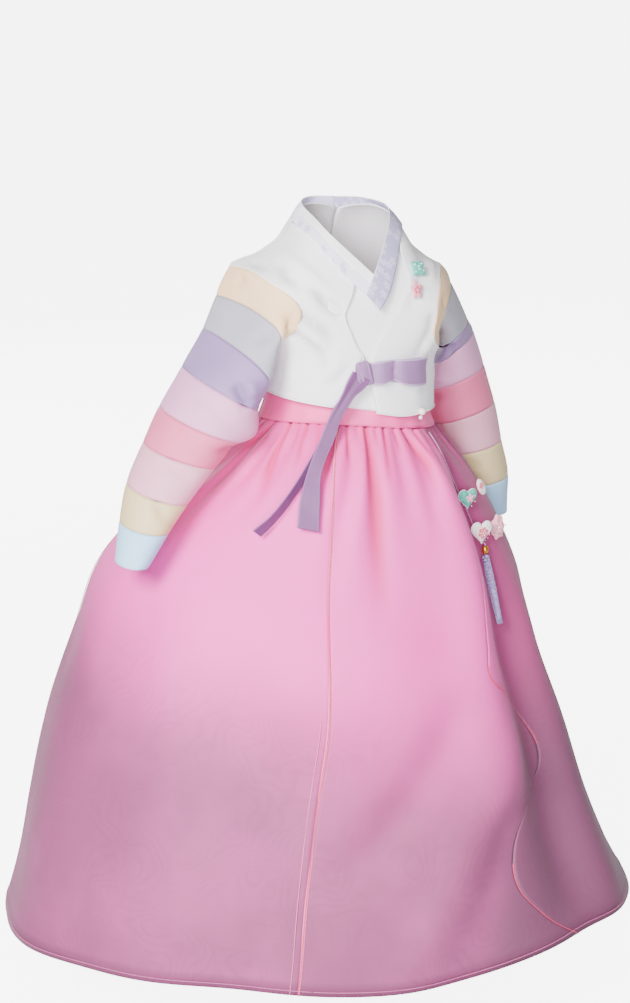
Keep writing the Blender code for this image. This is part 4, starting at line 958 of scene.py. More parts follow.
    def point(self, turn_deg: Array | float, drop: Array | float, inset: float | Array = 0.0,
              pleated: float = 1.0) -> Array:
        """Points of the skirt's face: turn in degrees from the front, drop 0 waist to 1 hem."""
        turn_deg, drop = np.broadcast_arrays(np.asarray(turn_deg, float), np.asarray(drop, float))
        turn = np.radians(turn_deg)
        level = self.waist_z + (self.hem_z - self.waist_z) * drop
        across, depth, nx, ny = self.oval(Table.of(self.reach), level, turn)
        push = np.zeros(turn.shape)
        for at_waist, at_hem, start, end, height, spread in self.falls:
            away = (turn_deg - (at_waist + (at_hem - at_waist) * drop) + 180) % 360 - 180
            window = smoothstep(start, start + 0.18, drop) * (1 - smoothstep(end - 0.15, end, drop))
            push = push + height * window * np.exp(-(away / spread) ** 2)
        length = 0.26 + 0.06 * np.sin(5 * turn + 0.6) + 0.04 * np.sin(11 * turn)
        size = self.pleat_depth * (0.85 + 0.2 * np.sin(7 * turn + 1.0) + 0.15 * np.sin(13 * turn))
        fade = (0.45 + 0.55 * smoothstep(0.0, 0.05, drop)) * (1 - smoothstep(self.pleats_start, length, drop))
        push = push + pleated * size * fade * np.cos(self.pleats * turn) - inset
        rise, low_turn, spread = self.hem_rise
        away = (turn_deg - low_turn + 180) % 360 - 180
        lift = self.hem_tilt * (across + push * nx) + rise * (1 - np.exp(-(away / spread) ** 2))
        up = level + (1 - drop) * (self.seam_height(turn) - self.waist_z) + drop * lift
        return posed(across + push * nx, depth + push * ny, up)

    def crease_folds(self) -> list[Fold]:
        """The front's creases as placed, and like ones round the sides and back."""
        folds = [Fold(path, width, -self.crease_gain * depth, 0.0, 0.6, spread)
                 for path, width, depth, spread in self.creases]
        turn, i = 72.0, 0
        while turn < 300.0:
            length = 0.07 + 0.05 * math.sin(1.7 * i) ** 2 + (0.06 if i % 4 == 0 else 0.0)
            depth = 0.0018 + 0.0012 * math.sin(2.3 * i + 1.0) ** 2
            path = ((turn, 0.0), (turn + 3.0 * math.sin(1.3 * i), length))
            folds.append(Fold(path, 0.0021, -depth, 0.0, 0.6, 2.2))
            turn += 6.6 + 1.6 * math.sin(2.9 * i)
            i += 1
        return folds

    def panel(self, name: str, low: Rows, high: Rows) -> Cloth:
        """One panel between two seams."""
        drops = even(self.rows) ** 1.35
        start, end = Table.of(low).at(drops)[:, :1], Table.of(high).at(drops)[:, :1]
        count = int(self.columns_a_degree * float(np.mean(end - start)))
        turns = start + (end - start) * even(count)
        cloth = Cloth(name, self.point(turns, drops[:, None]), thickness=self.wall)
        cloth.depth = np.zeros(turns.shape)
        nearby = [f for f in self.crease_folds()
                  if (f.path[0][0] - start[0, 0] + 40) % 360 < end[0, 0] - start[0, 0] + 80]
        cloth.folded(nearby, self.point)
        # painted shade on the left side, carried in the fold attribute as large negative values
        cloth.depth = cloth.depth - self.shade(turns, drops[:, None])
        crests = self.crest_shade * np.maximum(0.0, np.cos(self.pleats * np.radians(turns)))
        cloth.depth = cloth.depth + crests * (1 - smoothstep(0.03, 0.22, drops))[:, None]
        return cloth.pushed(ripple(cloth.points, 0.16, 0.0010) * smoothstep(0.1, 0.4, drops)[:, None])

    def shade(self, turns: Array, drop: Array) -> Array:
        """Mark of the painted shade on the left side, as a height far below any fold's."""
        edge = Table.of(self.shade_edge).at(drop[:, 0])[:, :1]
        return self.shade_depth * smoothstep(0.0, 14.0, turns - edge) * (1 - smoothstep(110.0, 140.0, turns))

    def seam_path(self, seam: Rows, shift: float, lift: float, start: float = 0.0, end: float = 1.0) -> Array:
        """A line down a seam, shifted along the cloth by metres and lifted off it."""
        drops = start + (end - start) * even(90)
        turns = Table.of(seam).at(drops)[:, 0]
        here, beside = self.point(turns, drops), self.point(turns + 1.0, drops)
        turns = turns + shift / np.linalg.norm(beside - here, axis=1)
        return self.point(turns, drops, -lift)

    def build(self, fit: Fitting) -> None:
        """Make every piece of the skirt."""
        organza = OrganzaFinish()
        once_round = tuple((drop, turn + 360) for drop, turn in self.front_seam)
        for node, low, high in (
            ("skirt_front_left_panel", self.front_seam, self.left_seam),
            ("skirt_side_left_panel", self.left_seam, self.back_left_seam),
            ("skirt_back_left_panel", self.back_left_seam, self.back_seam),
            ("skirt_back_right_panel", self.back_seam, self.back_right_seam),
            ("skirt_front_right_panel", self.back_right_seam, once_round),
        ):
            fit.cloth(self.panel(node + "_cloth", low, high), organza, Held.GATHERED, [node],
                      GATHER_ALLOWANCE)
        self.build_seams(fit)
        self.build_lining(fit)
        self.build_waistband(fit)

    def build_seams(self, fit: Fitting) -> None:
        """Coral seam cords, the pale line beside the front seam and the rolled hem."""
        bag = Bag()
        whole = ((self.front_seam, 0.004, 1.0), (self.left_seam, 0.44, 0.63), (self.left_seam, 0.82, 1.0),
                 (self.back_left_seam, 0.004, 1.0), (self.back_seam, 0.004, 1.0),
                 (self.back_right_seam, 0.004, 1.0))
        for seam, start, end in whole:
            bag.tube(self.seam_path(seam, 0.0, 0.0005, start, end), self.seam_radius, 6, 0.7)
        fit.bag(bag, "skirt_seam_cords", SEAM_THREAD)
        bag = Bag()
        bag.tube(self.seam_path(self.front_seam, 0.0, -0.0010, 0.004), self.seam_radius * 3.0, 8, 0.7)
        bag.tube(self.seam_path(self.front_seam, -0.0085, 0.0005, 0.50), self.seam_radius * 0.7, 6, 0.6)
        fit.bag(bag, "skirt_seam_edges", PALE_THREAD)
        turns = np.linspace(0, 360, 361)
        bag = Bag()
        bag.tube(self.point(turns, 0.9915, -0.0002), 0.0006, 6)
        fit.bag(bag, "skirt_rolled_hem", HEM_THREAD)

    def build_lining(self, fit: Fitting) -> None:
        """The opaque layer under the organza."""
        turns = np.linspace(0, 360, 181)[:-1]
        drops = 0.01 + (self.lining_end - 0.01) * even(30)
        inset = self.lining_inset + self.lining_slack * smoothstep(0.0, 0.12, drops)[:, None]
        cloth = Cloth("skirt_under_layer", self.point(turns, drops[:, None], inset, 0.0), closed=True,
                      thickness=0.0007)
        fit.cloth(cloth, LINING_CLOTH, Held.GATHERED, ["skirt_lining"], GATHER_ALLOWANCE)

    def build_waistband(self, fit: Fitting) -> None:
        """The waistband with its stitched lower edge."""
        turns = np.linspace(0, 360, 241)[:-1]
        heights = 0.060 * (1 - even(16))

        def place(turn_deg: Array, height: Array) -> Array:
            """Points of the band by turn and by height over its lower edge."""
            turn = np.radians(turn_deg)
            shape = np.broadcast_shapes(np.shape(height), np.shape(turn))
            across, depth, _, _ = self.oval(Table.of(self.band_reach), np.broadcast_to(height, shape), turn)
            return posed(across, depth, self.seam_height(turn) + height)

        cloth = Cloth("waistband_cloth", place(turns, heights[:, None]), closed=True, thickness=0.0012)
        wave = 0.0005 * np.sin(np.radians(turns) * 23)[None, :] * (1 - even(16))[::-1][:, None]
        cloth.pushed(wave + ripple(cloth.points, 0.05, 0.0003))
        fit.cloth(cloth, WAIST_CLOTH, Held.HUNG, ["skirt_waistband"])


# --- jacket -------------------------------------------------------------------------------
@dataclass
class BodyForm:
    """The jacket's rounded form: turn in degrees from the front, drop 0 shoulder, 1 chest, 2 hem."""

    chest_z: float = -0.060
    power: float = 2.4
    roll: float = 0.06
    slump_start: float = 0.045
    left_slump: float = 0.16
    right_slump: float = 0.12
    shoulder_y: float = 0.004
    hem_z: float = -0.160
    hem_tilt: float = 0.0062
    torso: Rows = (
        (-0.175, 0.0900, 0.088, 0.072), (-0.135, 0.0895, 0.088, 0.070), (-0.105, 0.0940, 0.087, 0.070),
        (-0.085, 0.1180, 0.085, 0.070), (-0.060, 0.1480, 0.082, 0.070), (-0.030, 0.1480, 0.080, 0.068),
        (0.030, 0.1480, 0.076, 0.064),
    )
    shoulder: Rows = (
        (0.000, 0.040), (0.040, 0.034), (0.050, 0.026), (0.056, 0.018), (0.063, 0.007),
        (0.080, -0.006), (0.113, -0.018), (0.150, -0.032),
    )
    armhole_front: Rows = (
        (48.0, 0.00), (44.0, 0.25), (34.0, 0.64), (24.0, 0.92), (23.0, 1.06), (34.0, 1.26), (56.0, 1.39),
        (90.0, 1.46),
    )
    armhole_back: Rows = (
        (48.0, 0.00), (43.0, 0.30), (37.0, 0.65), (34.0, 0.92), (35.0, 1.08), (46.0, 1.28), (66.0, 1.41),
        (90.0, 1.46),
    )

    # how far round each armhole lies from those tables: share of the way down it, degrees
    right_front_shift: Rows = ((0.0, 3.5), (0.14, 2.0), (0.30, 0.5), (0.50, 0.0), (1.0, 0.0))
    right_back_shift: Rows = ((0.0, 3.5), (0.14, 2.6), (0.30, 1.2), (0.50, 0.2), (1.0, 0.0))
    left_front_shift: Rows = (
        (0.0, -9.0), (0.14, -9.0), (0.28, -4.5), (0.43, 3.0), (0.57, 5.0), (0.71, 2.5), (0.86, 0.0),
        (1.0, 0.0),
    )
    left_back_shift: Rows = ((0.0, -9.0), (0.14, -5.0), (0.30, 0.0), (1.0, 0.0))

    def point(self, turn_deg: Array | float, drop: Array | float, front: bool | Array = True,
              lift: float | Array = 0.0) -> Array:
        """Points of the jacket's face, lifted off it along the outward direction."""
        turn_deg, drop, front, lift = np.broadcast_arrays(
            np.asarray(turn_deg, float), np.asarray(drop, float), front, np.asarray(lift, float))
        turn = np.radians(turn_deg)
        side = np.copysign(np.abs(np.sin(turn)) ** (2 / self.power), turn)
        toward = np.abs(np.cos(turn)) ** (2 / self.power)
        arc = np.clip(1 - drop, 0.0, 1.0) * math.pi / 2
        torso = Table.of(self.torso)
        x_high = torso.at(self.chest_z)[0] * side
        shoulder = Table.of(self.shoulder).at(np.abs(x_high))[..., 0]
        z_high = self.chest_z + np.sin(arc) * (shoulder - self.chest_z)
        hem = self.hem_z - self.hem_tilt * np.sin(turn) - 0.005 * np.exp(-((turn_deg - 20) / 22) ** 2)
        z_low = self.chest_z - (drop - 1) * (self.chest_z - hem)
        z = np.where(drop < 1, z_high, z_low)
        half, reach_front, reach_back = np.moveaxis(torso.at(z), -1, 0)
        x = np.where(drop < 1, x_high, half * side)
        y = self.shoulder_y + np.where(front, -reach_front, reach_back) * toward * np.cos(arc)
        slope = np.where(x > 0, self.left_slump, self.right_slump)
        slump = slope * np.maximum(0.0, np.abs(x) - self.slump_start) * (1 - smoothstep(0.0, 1.3, drop))
        points = np.stack([x, y, z - self.roll * x - slump], -1)
        return points + lift[..., None] * self.outward(points)

    @staticmethod
    def outward(points: Array) -> Array:
        """Outward directions of the rounded body."""
        x, y, z = np.moveaxis(points, -1, 0)
        return unit(np.stack([x / 0.13 ** 2, y / 0.085 ** 2, np.maximum(0.0, z + 0.09) / 0.13 ** 2], -1))

    def armhole_place(self, side: Side, turn: Array) -> tuple[Array, Array, Array]:
        """Turn and drop on the body of the armhole's points, and if each is on the front."""
        turn = np.asarray(turn, float)
        front = turn <= 180
        found = []
        right = side is Side.RIGHT
        front_shift = self.right_front_shift if right else self.left_front_shift
        back_shift = self.right_back_shift if right else self.left_back_shift
        for rows, shift, share in ((self.armhole_front, front_shift, turn / 180),
                                   (self.armhole_back, back_shift, (360 - turn) / 180)):
            share = np.clip(share, 0, 1)
            spots = Table(np.arange(len(rows)) / (len(rows) - 1), np.array(rows)).at(share)
            spots[..., 0] += Table.of(shift).at(share)[..., 0]
            found.append(spots)
        both = np.where(front[..., None], found[0], found[1])
        return both[..., 0], both[..., 1], front

    def armhole(self, side: Side, turn: Array) -> Array:
        """Points of the armhole: turn 0 at the shoulder, 180 under the arm, through the front."""
        angle, drop, front = self.armhole_place(side, turn)
        return self.point(side.value * angle, drop, front)


@dataclass
class Jacket:
    """The white jacket body: two fronts, the inner front and two backs."""

    form: BodyForm
    columns: int = 40
    rows: int = 64
    armhole_share: float = 7 / 9
    inner_lift: float = -0.0036
    side_seam: Rows = ((8 / 9, 90.0, 1.72), (1.0, 90.0, 2.0))
    right_edge: Rows = (
        (-18.6, 0.00), (-16.0, 0.33), (-9.0, 0.58), (-2.6, 0.82), (-6.0, 1.06),
        (-5.0, 1.26), (-3.4, 1.38), (-1.5, 1.48), (-7.0, 1.72), (-19.0, 2.0),
    )
    left_edge: Rows = (
        (17.5, 0.00), (15.0, 0.30), (12.6, 0.58), (14.8, 0.80), (10.2, 0.98),
        (5.0, 1.24), (2.2, 1.38), (0.5, 1.48), (1.4, 1.72), (4.0, 2.0),
    )
    back_edge: Rows = (
        (17.0, 0.00), (9.0, 0.20), (0.0, 0.33), (0.0, 0.80), (0.0, 1.06),
        (0.0, 1.26), (0.0, 1.38), (0.0, 1.48), (0.0, 1.72), (0.0, 2.0),
    )
    inner_edge: Rows = (
        (17.0, 0.00), (13.0, 0.33), (8.0, 0.62), (0.0, 0.80), (-10.5, 0.74),
        (-11.5, 1.08), (-11.0, 1.36), (-11.0, 1.50), (-15.0, 1.74), (-22.0, 1.985),
    )
    inner_far_edge: Rows = (
        (33.0, 0.00), (29.0, 0.30), (25.0, 0.58), (21.0, 0.84), (18.0, 1.02),
        (12.0, 1.22), (9.0, 1.38), (8.0, 1.50), (9.0, 1.74), (12.0, 1.985),
    )
    right_folds: tuple[Fold, ...] = (
        Fold(((-20, 0.70), (-13, 0.94), (-6, 1.06)), 0.0055, -0.0051, 0.4, 0.2),
        Fold(((-23, 0.15), (-23, 0.45), (-17, 0.74), (-8, 0.96)), 0.0060, 0.0033, 0.3, 0.4),
        Fold(((-29, 0.30), (-27, 0.62), (-19, 0.86)), 0.0055, -0.0033, 0.3, 0.4),
        Fold(((-26, 1.05), (-17, 1.22), (-12, 1.45)), 0.0080, -0.0039, 0.1, 0.5),
        Fold(((-33, 1.22), (-24, 1.45), (-21, 1.75)), 0.0075, -0.0045, 0.1, 0.5),
        Fold(((-30, 1.12), (-21, 1.35), (-18, 1.60)), 0.0060, 0.0033, 0.1, 0.5),
        Fold(((-8, 1.52), (-16, 1.70), (-30, 1.82)), 0.0060, -0.0027, 0.1, 0.5),
        Fold(((-40, 0.15), (-33, 0.50)), 0.0070, -0.0027, 0.2, 0.5),
    )
    left_folds: tuple[Fold, ...] = (
        Fold(((25, 1.00), (30, 1.20), (31, 1.50)), 0.0070, -0.0026, 0.1, 0.5),
        Fold(((36, 1.28), (36, 1.55), (34, 1.90)), 0.0070, 0.0022, 0.1, 0.4),
        Fold(((22, 0.45), (18, 0.80), (13, 1.05)), 0.0060, -0.0020, 0.3, 0.4),
        Fold(((8, 1.76), (20, 1.80), (34, 1.84)), 0.0050, -0.0014, 0.2, 0.4),
        Fold(((31, 0.20), (27, 0.50), (24, 0.75)), 0.0055, 0.0018, 0.3, 0.4),
    )
    back_folds: tuple[Fold, ...] = (
        Fold(((36, 1.0), (24, 1.20), (16, 1.45)), 0.0080, -0.0026, 0.1, 0.5),
        Fold(((46, 1.28), (34, 1.50), (28, 1.80)), 0.0080, -0.0028, 0.1, 0.5),
        Fold(((40, 0.25), (26, 0.45)), 0.0080, -0.0018, 0.2, 0.5),
        Fold(((8, 1.10), (7, 1.70)), 0.0070, 0.0014, 0.3, 0.4),
    )

    def edge(self, rows: Rows, sign: float = 1.0) -> Table:
        """A panel's inner edge by the share of its height."""
        table = np.array(rows, float) * np.array([sign, 1.0])
        return Table(even(len(rows) - 1), table)

    def side(self, side: Side, front: bool) -> Table:
        """A panel's outer edge: down the armhole, then down the side seam."""
        share = even(10)
        turn = 180 * share if front else 360 - 180 * share
        angle, drop, _ = self.form.armhole_place(side, turn)
        low = np.array(self.side_seam)
        keys = np.concatenate([self.armhole_share * share, low[:, 0]])
        return Table(keys, np.concatenate([np.stack([angle, drop], -1), low[:, 1:]]))

    def panel(self, name: str, near: Table, far: Table, side: Side, front: bool, lift: float,
              folds: Sequence[Fold]) -> Cloth:
        """One panel of the body."""
        start, end = near.at(even(self.rows)), far.at(even(self.rows))
        if not front:
            start[:, 0] = np.maximum(start[:, 0], 0.0)
        grid = start[:, None] + (end - start)[:, None] * even(self.columns)[None, :, None]
        points = self.form.point(side.value * grid[..., 0], np.maximum(grid[..., 1], 0.0), front, lift)
        cloth = Cloth(name, points, outward=side.value if front else -side.value, thickness=0.0010)
        sign = side.value if not front else 1
        cloth.folded(folds, lambda t, d: self.form.point(sign * t, d, front, lift))
        return cloth.pushed(ripple(cloth.points, 0.07, 0.0005, side.value))

    def build(self, fit: Fitting) -> None:
        """Make the panels and the piping on their front edges."""
        right, left = self.edge(self.right_edge, -1.0), self.edge(self.left_edge)
        back = self.edge(self.back_edge)
        for node, near, side, front, folds in (
            ("jacket_right_front", right, Side.RIGHT, True, self.right_folds),
            ("jacket_left_front", left, Side.LEFT, True, self.left_folds),
            ("jacket_right_back", back, Side.RIGHT, False, self.back_folds),
            ("jacket_left_back", back, Side.LEFT, False, self.back_folds),
        ):
            cloth = self.panel(node + "_cloth", near, self.side(side, front), side, front, 0.0, folds)
            fit.cloth(cloth, WHITE_CLOTH, Held.DRAPED, [node])
        inner = self.panel("jacket_inner_front_cloth", self.edge(self.inner_edge),
                           self.edge(self.inner_far_edge), Side.LEFT, True, self.inner_lift, ())
        fit.cloth(inner, INNER_CLOTH, Held.DRAPED, ["jacket_inner_front"])
        bag = Bag()
        for rows, start, radius in ((self.right_edge, 0.445, 0.0005), (self.left_edge, 0.84, 0.0005)):
            spots = self.edge(rows).at(start + (1 - start) * even(70))
            bag.tube(self.form.point(spots[:, 0], spots[:, 1], True, 0.0001), radius, 6)
        hems = [(self.right_edge[-1][0], -90.0, True), (self.left_edge[-1][0], 90.0, True),
                (-90.0, 90.0, False)]
        for start, end, front in hems:
            turns = np.linspace(start, end, 80)
            bag.tube(self.form.point(turns, 1.995, front, 0.0002), 0.0006, 6)
        fit.bag(bag, "jacket_edge_piping", PIPING_CLOTH, "jacket_white")


@dataclass
class Collar:
    """The crossed collar band in two halves, with the white strip on its right half."""

    form: BodyForm
    right_lower: Rows = (
        (0.00, 0.0, 0.42, 0, 0.0022), (0.20, -10.0, 0.30, 0, 0.0036), (0.40, -18.0, 0.02, 1, 0.0030),
        (0.60, -15.5, 0.42, 1, 0.0026), (0.75, -9.0, 0.68, 1, 0.0026), (0.88, -3.5, 0.82, 1, 0.0022),
        (1.00, 2.5, 0.94, 1, 0.0022),
    )
    left_lower: Rows = (
        (0.00, 0.0, 0.42, 0, 0.0022), (0.20, 10.0, 0.30, 0, 0.0038), (0.38, 18.0, 0.02, 1, 0.0032),
        (0.54, 15.0, 0.36, 1, 0.0010), (0.68, 12.0, 0.56, 1, 0.0008), (0.80, 9.5, 0.72, 1, 0.0022),
        (0.92, 6.0, 0.90, 1, 0.0038), (1.00, 3.0, 1.00, 1, 0.0048),
    )
    right_upper: Rows = (
        (0.00, 0.0, 0.0470, 0.0370), (0.20, -0.0290, 0.0370, 0.0390), (0.40, -0.0450, 0.0050, 0.0370),
        (0.60, -0.0380, -0.0330, 0.0240), (0.75, -0.0280, -0.0540, 0.0110), (0.88, -0.0090, -0.0660, -0.0080),
        (1.00, 0.0130, -0.0735, -0.0290),
    )
    left_upper: Rows = (
        (0.00, 0.0, 0.0470, 0.0370), (0.20, 0.0290, 0.0370, 0.0360), (0.38, 0.0440, 0.0050, 0.0320),
        (0.54, 0.0370, -0.0300, 0.0210), (0.68, 0.0275, -0.0510, 0.0080), (0.80, 0.0180, -0.0660, -0.0080),
        (0.92, 0.0070, -0.0765, -0.0280), (1.00, -0.0010, -0.0810, -0.0435),
    )
    strip: tuple[float, float, float, float] = (0.42, 0.985, 0.42, 0.0006)
    bulge: float = 0.0008

    def lines(self, lower: Rows, upper: Rows, shares: Array) -> tuple[Array, Array]:
        """The band's lower and upper edges."""
        spots = np.array([self.form.point(turn, drop, bool(front), lift)
                          for _, turn, drop, front, lift in lower])
        return Table([row[0] for row in lower], spots).at(shares), Table.of(upper).at(shares)

    def band(self, name: str, lower: Rows, upper: Rows, side: Side, thickness: float = 0.0012) -> Cloth:
        """One half of the band, a little rounded across."""
        low, high = self.lines(lower, upper, even(110))
        heights = 1 - even(14)
        points = low[None] + (high - low)[None] * heights[:, None, None]
        cloth = Cloth(name, points, outward=-side.value, thickness=thickness)
        bulge = self.bulge * np.sin(math.pi * heights)
        cloth.points = cloth.points + bulge[:, None, None] * cloth.normals()
        return cloth

    def build(self, fit: Fitting) -> None:
        """Make the two halves, the strip and the piping along the bands' upper edges and the left half's end.
        """
        for word, lower, upper, side, finish in (
            ("right", self.right_lower, self.right_upper, Side.RIGHT, RIGHT_COLLAR_CLOTH),
            ("left", self.left_lower, self.left_upper, Side.LEFT, LEFT_COLLAR_CLOTH),
        ):
            fit.cloth(self.band(f"collar_{word}_cloth", lower, upper, side), finish, Held.FOLDED,
                      [f"collar_{word}_band"])
        start, end, width, lift = self.strip
        low, high = self.lines(self.right_lower, self.right_upper, start + (end - start) * even(70))
        heights = 1.02 - width * even(8)
        points = low[None] + (high - low)[None] * heights[:, None, None]
        cloth = Cloth("collar_strip_cloth", points, outward=1.0, thickness=0.0009)
        cloth.points = cloth.points + (lift + self.bulge) * cloth.normals()
        fit.cloth(cloth, STRIP_CLOTH, Held.FOLDED, ["collar_white_strip"])
        bag = Bag()
        for lower, upper in ((self.right_lower, self.right_upper), (self.left_lower, self.left_upper)):
            low, high = self.lines(lower, upper, even(110))
            bag.tube(high, 0.0007 if lower is self.right_lower else 0.0004, 6)
        low, high = self.lines(self.left_lower, self.left_upper, np.array([1.0]))
        bag.tube(low + (high - low) * even(10)[:, None] + 0.0004 * self.form.outward(low), 0.0005, 6)
        fit.bag(bag, "collar_edge_piping", PIPING_CLOTH, "collar_white")


@dataclass
class Sleeve:
    """One wide striped sleeve of eight rings of cloth.

    Each row is a seam: its number; the shoulder-side fold's across, depth and up; the under-side
    fold's; the fullness in front (m) and the lean of the front towards the body (degrees).
    """

    side: Side
    form: BodyForm
    seams: Rows
    folds: tuple[Fold, ...] = ()
    pouch: float = 0.0
    cap: float = 0.0015
    back_fullness: float = 0.72
    columns: int = 96
    steps: int = 14

    def ring(self, row: Sequence[float], turn: Array) -> Array:
        """Points of one seam's ring."""
        outer, inner = np.array(row[1:4]), np.array(row[4:7])
        fullness, lean = row[7], math.radians(row[8])
        angle = np.radians(turn)[:, None]
        front = np.array([math.sin(lean), -math.cos(lean), 0.0]) * fullness
        back = np.array([0.0, -1.0, 0.0]) * fullness * self.back_fullness
        swell = np.where(turn[:, None] <= 180, front, back)
        flat = (outer + inner) / 2 + (outer - inner) / 2 * np.cos(angle) + swell * np.sin(angle)
        return posed(flat[:, 0], flat[:, 1], flat[:, 2])

    def surface(self, along: Array, turn: Array) -> Array:
        """Grid of the sleeve's face: along 0 at the armhole to 8 at the cuff."""
        values = np.stack([self.form.armhole(self.side, turn)] + [self.ring(row, turn) for row in self.seams])
        points = Table(np.arange(len(values), dtype=float), values).at(along)
        under = np.exp(-((turn - 175) / 38) ** 2)[None, :] * np.exp(-((along - 3.55) / 0.42) ** 2)[:, None]
        rise = self.cap * np.sin(math.pi * np.clip(along, 0.0, 1.0))
        cap = rise[:, None, None] * posed(self.side.value, 0.0, 0.2)
        return points + self.pouch * under[..., None] * posed(0.75, 0.0, -0.65) + cap

    def spot(self, turn: float, along: float) -> Array:
        """One point of the sleeve."""
        return self.surface(np.array([along]), np.array([float(turn) % 360]))[0, 0]

    def build(self, fit: Fitting) -> None:
        """Make the eight rings, each drawn in a little at its seams."""
        turns = np.linspace(0, 360, self.columns + 1)[:-1]
        word = self.side.name.lower()
        for number, (stripe, finish) in enumerate(zip(STRIPES, STRIPE_FINISHES)):
            share = even(self.steps)
            along = number + share
            node = f"sleeve_{word}_{number + 1}_{stripe}"
            cloth = Cloth(node + "_cloth", self.surface(along, turns), closed=True, outward=-self.side.value)
            close = np.minimum(share + (number == 0), 1 - share + (number == 7))
            seam = -0.0004 * np.exp(-(close / 0.04) ** 2)[:, None] * np.ones((1, self.columns))
            cloth.pushed(seam + ripple(cloth.points, 0.055, 0.0006, number * 0.7))
            cloth.folded(self.folds, self.spot)
            fit.cloth(cloth, finish, Held.HUNG, [node])


RIGHT_SLEEVE_SEAMS: Rows = (
    (1, -0.1310, -0.030, -0.0520, -0.0920, -0.045, -0.1010, 0.072, 38),
    (2, -0.1450, -0.040, -0.0840, -0.0860, -0.060, -0.1360, 0.060, 28),
    (3, -0.1655, -0.054, -0.1205, -0.0900, -0.080, -0.1570, 0.047, 12),
    (4, -0.1880, -0.068, -0.1575, -0.1085, -0.090, -0.1880, 0.041, 6),
    (5, -0.2040, -0.084, -0.1910, -0.1300, -0.100, -0.2130, 0.036, 3),
    (6, -0.2200, -0.098, -0.2295, -0.1575, -0.113, -0.2480, 0.033, 0),
    (7, -0.2270, -0.112, -0.2650, -0.1760, -0.126, -0.2750, 0.030, 0),
    (8, -0.2310, -0.128, -0.3020, -0.1960, -0.138, -0.3065, 0.024, 0),
)
LEFT_SLEEVE_SEAMS: Rows = (
    (1, 0.1080, 0.028, -0.0490, 0.0930, 0.045, -0.1000, 0.058, 0),
    (2, 0.1270, 0.055, -0.0920, 0.0950, 0.065, -0.1210, 0.053, 0),
    (3, 0.1335, 0.066, -0.1060, 0.0880, 0.078, -0.1420, 0.049, 0),
    (4, 0.1450, 0.079, -0.1450, 0.0835, 0.082, -0.1705, 0.045, 0),
    (5, 0.1575, 0.087, -0.1860, 0.0900, 0.083, -0.2085, 0.039, 0),
    (6, 0.1660, 0.094, -0.2290, 0.1090, 0.088, -0.2420, 0.035, 0),
    (7, 0.1740, 0.101, -0.2690, 0.1300, 0.095, -0.2780, 0.032, 0),
    (8, 0.1735, 0.107, -0.3110, 0.1410, 0.103, -0.3100, 0.026, 0),
)
# turn and along the sleeve
RIGHT_SLEEVE_FOLDS = (
    Fold(((80, 2.55), (104, 2.8), (134, 3.05)), 0.0060, -0.0050, 0.3, 0.3),
    Fold(((96, 2.35), (128, 2.75)), 0.0060, 0.0030, 0.3, 0.4),
    Fold(((196, 4.05), (150, 4.35), (110, 4.45)), 0.0055, -0.0050, 0.1, 0.5),
    Fold(((76, 5.92), (108, 6.24), (176, 6.88)), 0.0055, -0.0032, 0.3, 0.3),
    Fold(((116, 0.50), (92, 0.42), (70, 0.55)), 0.0045, -0.0042, 0.1, 0.6),
    Fold(((96, 0.96), (80, 1.35), (60, 1.75)), 0.0075, -0.0028, 0.2, 0.5),
    Fold(((30, 0.20), (22, 0.60)), 0.0060, -0.0026, 0.1, 0.5),
    Fold(((56, 3.44), (90, 3.62), (128, 3.72)), 0.0060, 0.0028, 0.3, 0.4),
    Fold(((60, 5.0), (100, 5.25), (140, 5.35)), 0.0065, -0.0024, 0.3, 0.4),
    Fold(((250, 2.0), (285, 3.0)), 0.0080, -0.0035, 0.3, 0.4),
    Fold(((230, 4.2), (262, 4.6)), 0.0070, -0.0040, 0.2, 0.4),
    Fold(((240, 6.0), (280, 6.5)), 0.0060, -0.0030, 0.3, 0.4),
    Fold(((250, 0.5), (275, 1.2)), 0.0080, -0.0032, 0.2, 0.5),
)
LEFT_SLEEVE_FOLDS = (
    Fold(((172, 1.75), (96, 2.48), (72, 3.30)), 0.0060, -0.0055, 0.1, 0.4),
    Fold(((178, 3.9), (140, 4.25), (90, 4.15)), 0.0065, -0.0048, 0.1, 0.5),
    Fold(((150, 3.5), (110, 3.75), (80, 3.9)), 0.0055, 0.0026, 0.3, 0.4),
    Fold(((170, 4.9), (130, 5.15)), 0.0055, -0.0030, 0.1, 0.5),
    Fold(((64, 0.30), (80, 0.75)), 0.0050, -0.0032, 0.2, 0.5),
    Fold(((120, 6.2), (80, 6.5)), 0.0055, -0.0020, 0.3, 0.4),
    Fold(((235, 2.2), (275, 3.2)), 0.0080, -0.0035, 0.3, 0.4),
    Fold(((225, 4.3), (265, 4.8)), 0.0070, -0.0038, 0.2, 0.4),
    Fold(((250, 6.1), (285, 6.6)), 0.0060, -0.0028, 0.3, 0.4),
    Fold(((250, 0.6), (270, 1.3)), 0.0080, -0.0030, 0.2, 0.5),
)


